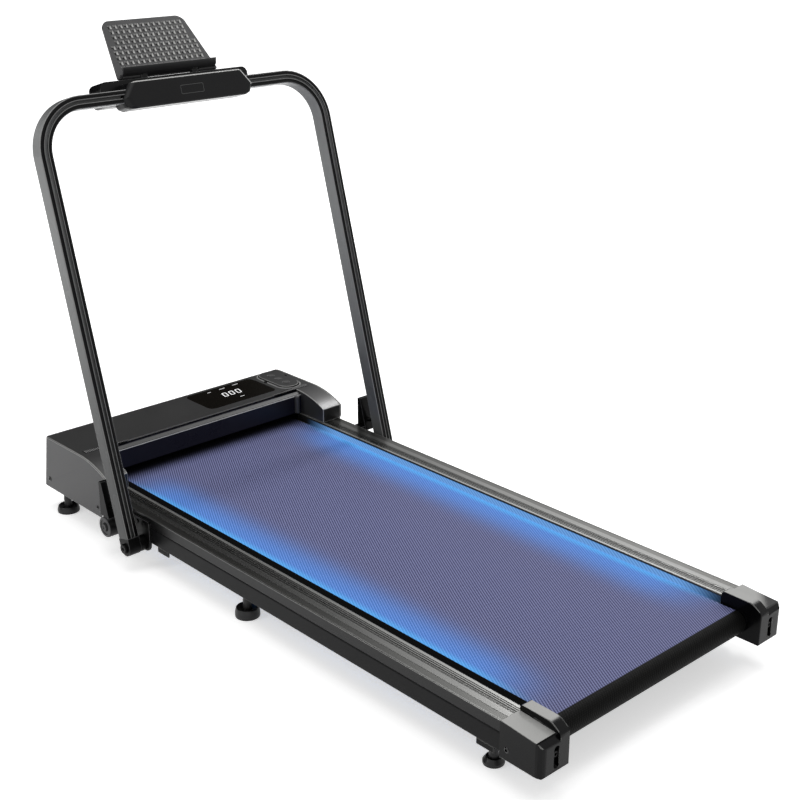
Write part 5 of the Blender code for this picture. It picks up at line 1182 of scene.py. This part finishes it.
# %% Ribbed wedges
RIB_COUNT, RIB_STEP, RIB_HALF = 24, 0.0036, 0.0008
RIB_X, RIB_Y, RIB_SKEW = 0.1620, 0.4630, 0.0005
RIB_SHORT, RIB_GROWTH = 0.0022, 0.0085
RIB_LOW, RIB_HIGH = 0.1396, 0.1406
BED_OUTLINE = ((0.1585, 0.4622), (0.2475, 0.4620), (0.2475, 0.4745), (0.1900, 0.4710))
BED_LOW, BED_HIGH, BED_ROUND = 0.1390, 0.1402, 0.0008
PILLAR_X, PILLAR_Y, PILLAR_LOW, PILLAR_HIGH = 0.2045, 0.4462, 0.0990, 0.1330
PILLAR_WIDE, PILLAR_DEEP, PILLAR_ROUND = 0.009, 0.010, 0.004
rib_at = np.arange(RIB_COUNT) * RIB_STEP
rib_share = rib_at / rib_at[-1]


def rib_row(side):
    """Ribs across a wedge that widens toward the side of the hood: one small bar each."""
    near = RIB_Y - RIB_SKEW * rib_share
    far = near + RIB_SHORT + RIB_GROWTH * rib_share
    bars = [np.stack([side * (RIB_X + rib_at + half), y, np.full(RIB_COUNT, z)], 1)
            for z in (RIB_LOW, RIB_HIGH)
            for half, y in ((-RIB_HALF, near), (RIB_HALF, near), (RIB_HALF, far),
                            (-RIB_HALF, far))]
    quads = np.array([(0, 3, 2, 1), (4, 5, 6, 7), (0, 1, 5, 4), (1, 2, 6, 5), (2, 3, 7, 6),
                      (3, 0, 4, 7)])
    faces = (np.arange(RIB_COUNT)[:, None, None] * 8 + quads[None]).reshape(-1, 4)
    return np.stack(bars, 1).reshape(-1, 3), faces.tolist()


rib_paint = finish("rib_plastic", "7a7a7a", 0.35, level=0.3)
# The bed is painted shade: black between the ribs.
rib_bed_shade_paint = finish("rib_bed_painted_shade", "050505", 0.70, level=0.03)
for name, side in SIDES.items():
    make("ribs_" + name, rib_row(side), "base", "hood_plastic", rib_paint)
    bed = rounded(np.array(BED_OUTLINE) * (side, 1), BED_ROUND, 3)
    make("rib_bed_" + name, plate(bed, "z", BED_LOW, BED_HIGH, FINE_RIM, 1), "base",
         "hood_plastic", rib_bed_shade_paint)
    pillar = box_loop(PILLAR_WIDE, PILLAR_DEEP, PILLAR_ROUND, (side * PILLAR_X, PILLAR_Y))
    make("pillar_" + name, plate(pillar, "z", PILLAR_LOW, PILLAR_HIGH), "base",
         "hood_plastic", finishes["side_plastic"])
print("fascia and wedges ready")

# %% [markdown]
# ### Screws
#
# Round-headed screws hold the side panels and the end caps. One profile serves all three
# sizes: its radii are shares of the head's radius and its heights stand on the face.

# %% Screws of the side panels and the end caps
# Each screw: its y and z, the x of the face it stands on, and the radius of its head.
SCREWS = ((0.5729, 0.0599, 0.2611, 0.0046), (0.4124, 0.0597, 0.2611, 0.0032),
          (-0.5428, 0.0580, 0.2595, 0.0044))
SCREW_PROFILE = ((0, -0.0014), (0.98, -0.0014), (1, -0.0002), (0.93, 0.0006), (0.74, 0.0012),
                 (0.50, 0.0014), (0.44, -0.0006), (0, -0.0006))
screw_paint = finish("screw_black", "060606", 0.20, level=0.5)
shells = []
for side in SIDES.values():
    for y, z, face_x, radius in SCREWS:
        profile = [(radius * share, side * (face_x + up)) for share, up in SCREW_PROFILE]
        shells.append(lathe(profile, "x", (0, y, z), SMALL_STEPS))
make("panel_screws", together(shells), "base", "side_plastic", screw_paint)
print("screws", len(shells))

# %% [markdown]
# ## Display and remote
#
# The window shows three zeros in white light and four short bars where labels would be;
# the labels are left blank. The remote lies in its cup inside a thin bright ring.

# %% Display glass
WINDOW_LOW, WINDOW_TOP, WINDOW_MIDDLE = 0.1387, 0.1401, (0.10925, 0.5276)
WINDOW_WIDE, WINDOW_DEEP, WINDOW_ROUND = 0.1545, 0.0872, 0.011
glass = box_loop(WINDOW_WIDE, WINDOW_DEEP, WINDOW_ROUND, WINDOW_MIDDLE)
make("display_glass", plate(glass, "z", WINDOW_LOW, WINDOW_TOP, 0.0003, 2), "base",
     "gloss_black", stands_for=["display_window"])

# %% Display marks
DIGIT_WIDE, DIGIT_TALL, DIGIT_STEP, DIGIT_STROKE = 0.0100, 0.0190, 0.0153, 0.0019
DIGIT_X, DIGIT_Y, DIGIT_SLANT = 0.0977, 0.5305, 0.22
DIGIT_ROUND, DIGIT_ROUND_IN = 0.0026, 0.0008
MARK_LOW, MARK_HIGH = WINDOW_TOP - 0.0003, WINDOW_TOP + 0.0001
# Each label: the x and y of its middle and its width.
LABELS = ((0.081, 0.5600, 0.008), (0.1117, 0.5605, 0.0125), (0.1447, 0.5628, 0.013),
          (0.1180, 0.5030, 0.010))
LABEL_TALL, LABEL_ROUND = 0.0012, 0.0004
light_paint, wires, shader, coords = principled("display_light")
pixels = wires.add("ShaderNodeTexNoise", Vector=coords["Object"], Scale=1500.0, Detail=1.0)
wires.fill(shader, Base_Color="e8e8e8",
           Roughness=wires.ramp(pixels.outputs[0], 0.0, 1.0, 0.4, 0.6),
           Emission_Color=wires.mix(pixels.outputs[0], "dcdce0", "ffffff"),
           Emission_Strength=0.45)
shells = []
for k in range(3):
    spot = (DIGIT_X + DIGIT_STEP * k, DIGIT_Y)
    outer = box_loop(DIGIT_WIDE, DIGIT_TALL, DIGIT_ROUND, spot, DIGIT_SLANT)
    inner = box_loop(DIGIT_WIDE - 2 * DIGIT_STROKE, DIGIT_TALL - 2 * DIGIT_STROKE,
                     DIGIT_ROUND_IN, spot, DIGIT_SLANT)
    shells.append(ring_plate(outer, inner, "z", MARK_LOW, MARK_HIGH))
for x, y, wide in LABELS:
    bar = box_loop(wide, LABEL_TALL, LABEL_ROUND, (x, y))
    shells.append(plate(bar, "z", MARK_LOW, MARK_HIGH, 0.0, 1))
make("display_marks", together(shells), "base", "gloss_black", light_paint)
print("display marks", len(shells))

# %% Remote ring and notches
REMOTE_X, REMOTE_Y, REMOTE_FLAT = 0.2215, 0.5237, 0.0275
RING_OUT, RING_IN, RING_LOW, RING_HIGH = 0.0249, 0.0239, 0.1385, 0.1409
NOTCHES = ((0.1968, 0.5320), (0.2462, 0.5350))
NOTCH_PROFILE = ((0, 0.1388), (0.0036, 0.1388), (0.0040, 0.1400), (0.0036, 0.1412), (0, 0.1412))


def pill(half):
    """The remote's outline at a half width: two half circles and two straight sides."""
    a = np.linspace(0, pi, 24)
    far = np.stack([REMOTE_X + half * np.cos(a), REMOTE_Y + REMOTE_FLAT + half * np.sin(a)], 1)
    near = np.stack([REMOTE_X - half * np.cos(a), REMOTE_Y - REMOTE_FLAT - half * np.sin(a)], 1)
    return np.concatenate([far, near])


ring = ring_plate(pill(RING_OUT), pill(RING_IN), "z", RING_LOW, RING_HIGH)
make("remote_ring", ring, "base", "dark_plastic", bright_trim)
notches = together([lathe(NOTCH_PROFILE, "z", (x, y, 0), SMALL_STEPS) for x, y in NOTCHES])
make("remote_notches", notches, "base", "dark_plastic")
print("display and remote ready")

# %% [markdown]
# ## Feet and wheels
#
# The feet and wheels are turned shapes: a profile of radius against height carried round
# an axis in small steps.

# %% Feet
FOOT_X = {"front": 0.2428, "middle": 0.2338, "rear": 0.2296}
FOOT_Y = {"front": 0.549, "middle": 0.0285, "rear": -0.4938}
# Each pad: its radius at the sole, its radius at the top, and its height.
PAD = {"front": (0.0197, 0.0175, 0.0118), "middle": (0.0197, 0.0178, 0.0155),
       "rear": (0.0150, 0.0113, 0.0105)}
STEM_R, STEM_TOP = 0.007, 0.0452
THREADS, THREAD_DEEP = 6, 0.0006


def foot_profile(low_r, high_r, tall):
    """Pad with a rounded sole and a dished top, then the stem with thread rings."""
    rings = np.arange(THREADS)
    start = tall - 0.0005
    step = (STEM_TOP - start - 0.002) / THREADS
    thread = np.stack([STEM_R - THREAD_DEEP * (rings % 2), start + (rings + 0.5) * step], 1)
    sole = [(0, 0.0), (low_r - 0.0012, 0.0), (low_r - 0.0003, 0.0004), (low_r, 0.0014),
            (low_r, tall * 0.45), (high_r + 0.0002, tall - 0.0008), (high_r - 0.0006, tall),
            (high_r - 0.0022, tall - 0.0006), (STEM_R + 0.0018, tall - 0.0028),
            (STEM_R + 0.0002, tall - 0.0030)]
    return [*sole, (STEM_R, start), *thread.tolist(), (STEM_R, STEM_TOP), (0, STEM_TOP)]


for end in FOOT_X:
    for name, side in SIDES.items():
        node = f"foot_{end}_{name}"
        turned = lathe(foot_profile(*PAD[end]), "z", (side * FOOT_X[end], FOOT_Y[end], 0),
                       TURNED_STEPS)
        make(node + "_turned", turned, node, "foot_rubber", stands_for=[node])

# %% Transport wheels
WHEEL_Y, WHEEL_Z, WHEEL_R = 0.353, 0.051, 0.018
WHEEL_IN, WHEEL_OUT = 0.2625, 0.287
HUB_R, RECESS_R = 0.0072, 0.0130


def wheel_profile(side):
    """A tyre with round shoulders, a dished side face and a raised hub with a centre dot."""
    profile = [(0, WHEEL_IN), (WHEEL_R - 0.002, WHEEL_IN), (WHEEL_R - 0.0006, WHEEL_IN + 0.0006),
               (WHEEL_R, WHEEL_IN + 0.002), (WHEEL_R, WHEEL_OUT - 0.004),
               (WHEEL_R - 0.0006, WHEEL_OUT - 0.0026), (WHEEL_R - 0.002, WHEEL_OUT - 0.002),
               (RECESS_R, WHEEL_OUT - 0.002), (RECESS_R - 0.0008, WHEEL_OUT - 0.0032),
               (HUB_R + 0.0008, WHEEL_OUT - 0.0035), (HUB_R, WHEEL_OUT - 0.001),
               (HUB_R - 0.001, WHEEL_OUT), (0.0034, WHEEL_OUT), (0.0030, WHEEL_OUT - 0.001),
               (0, WHEEL_OUT - 0.001)]
    return [(radius, side * x) for radius, x in profile]


for name, side in SIDES.items():
    node = "transport_wheel_" + name
    turned = lathe(wheel_profile(side), "x", (0, WHEEL_Y, WHEEL_Z), TURNED_STEPS)
    make(node + "_turned", turned, "wheel_" + name, "wheel_plastic", stands_for=[node])
print("feet and wheels ready")
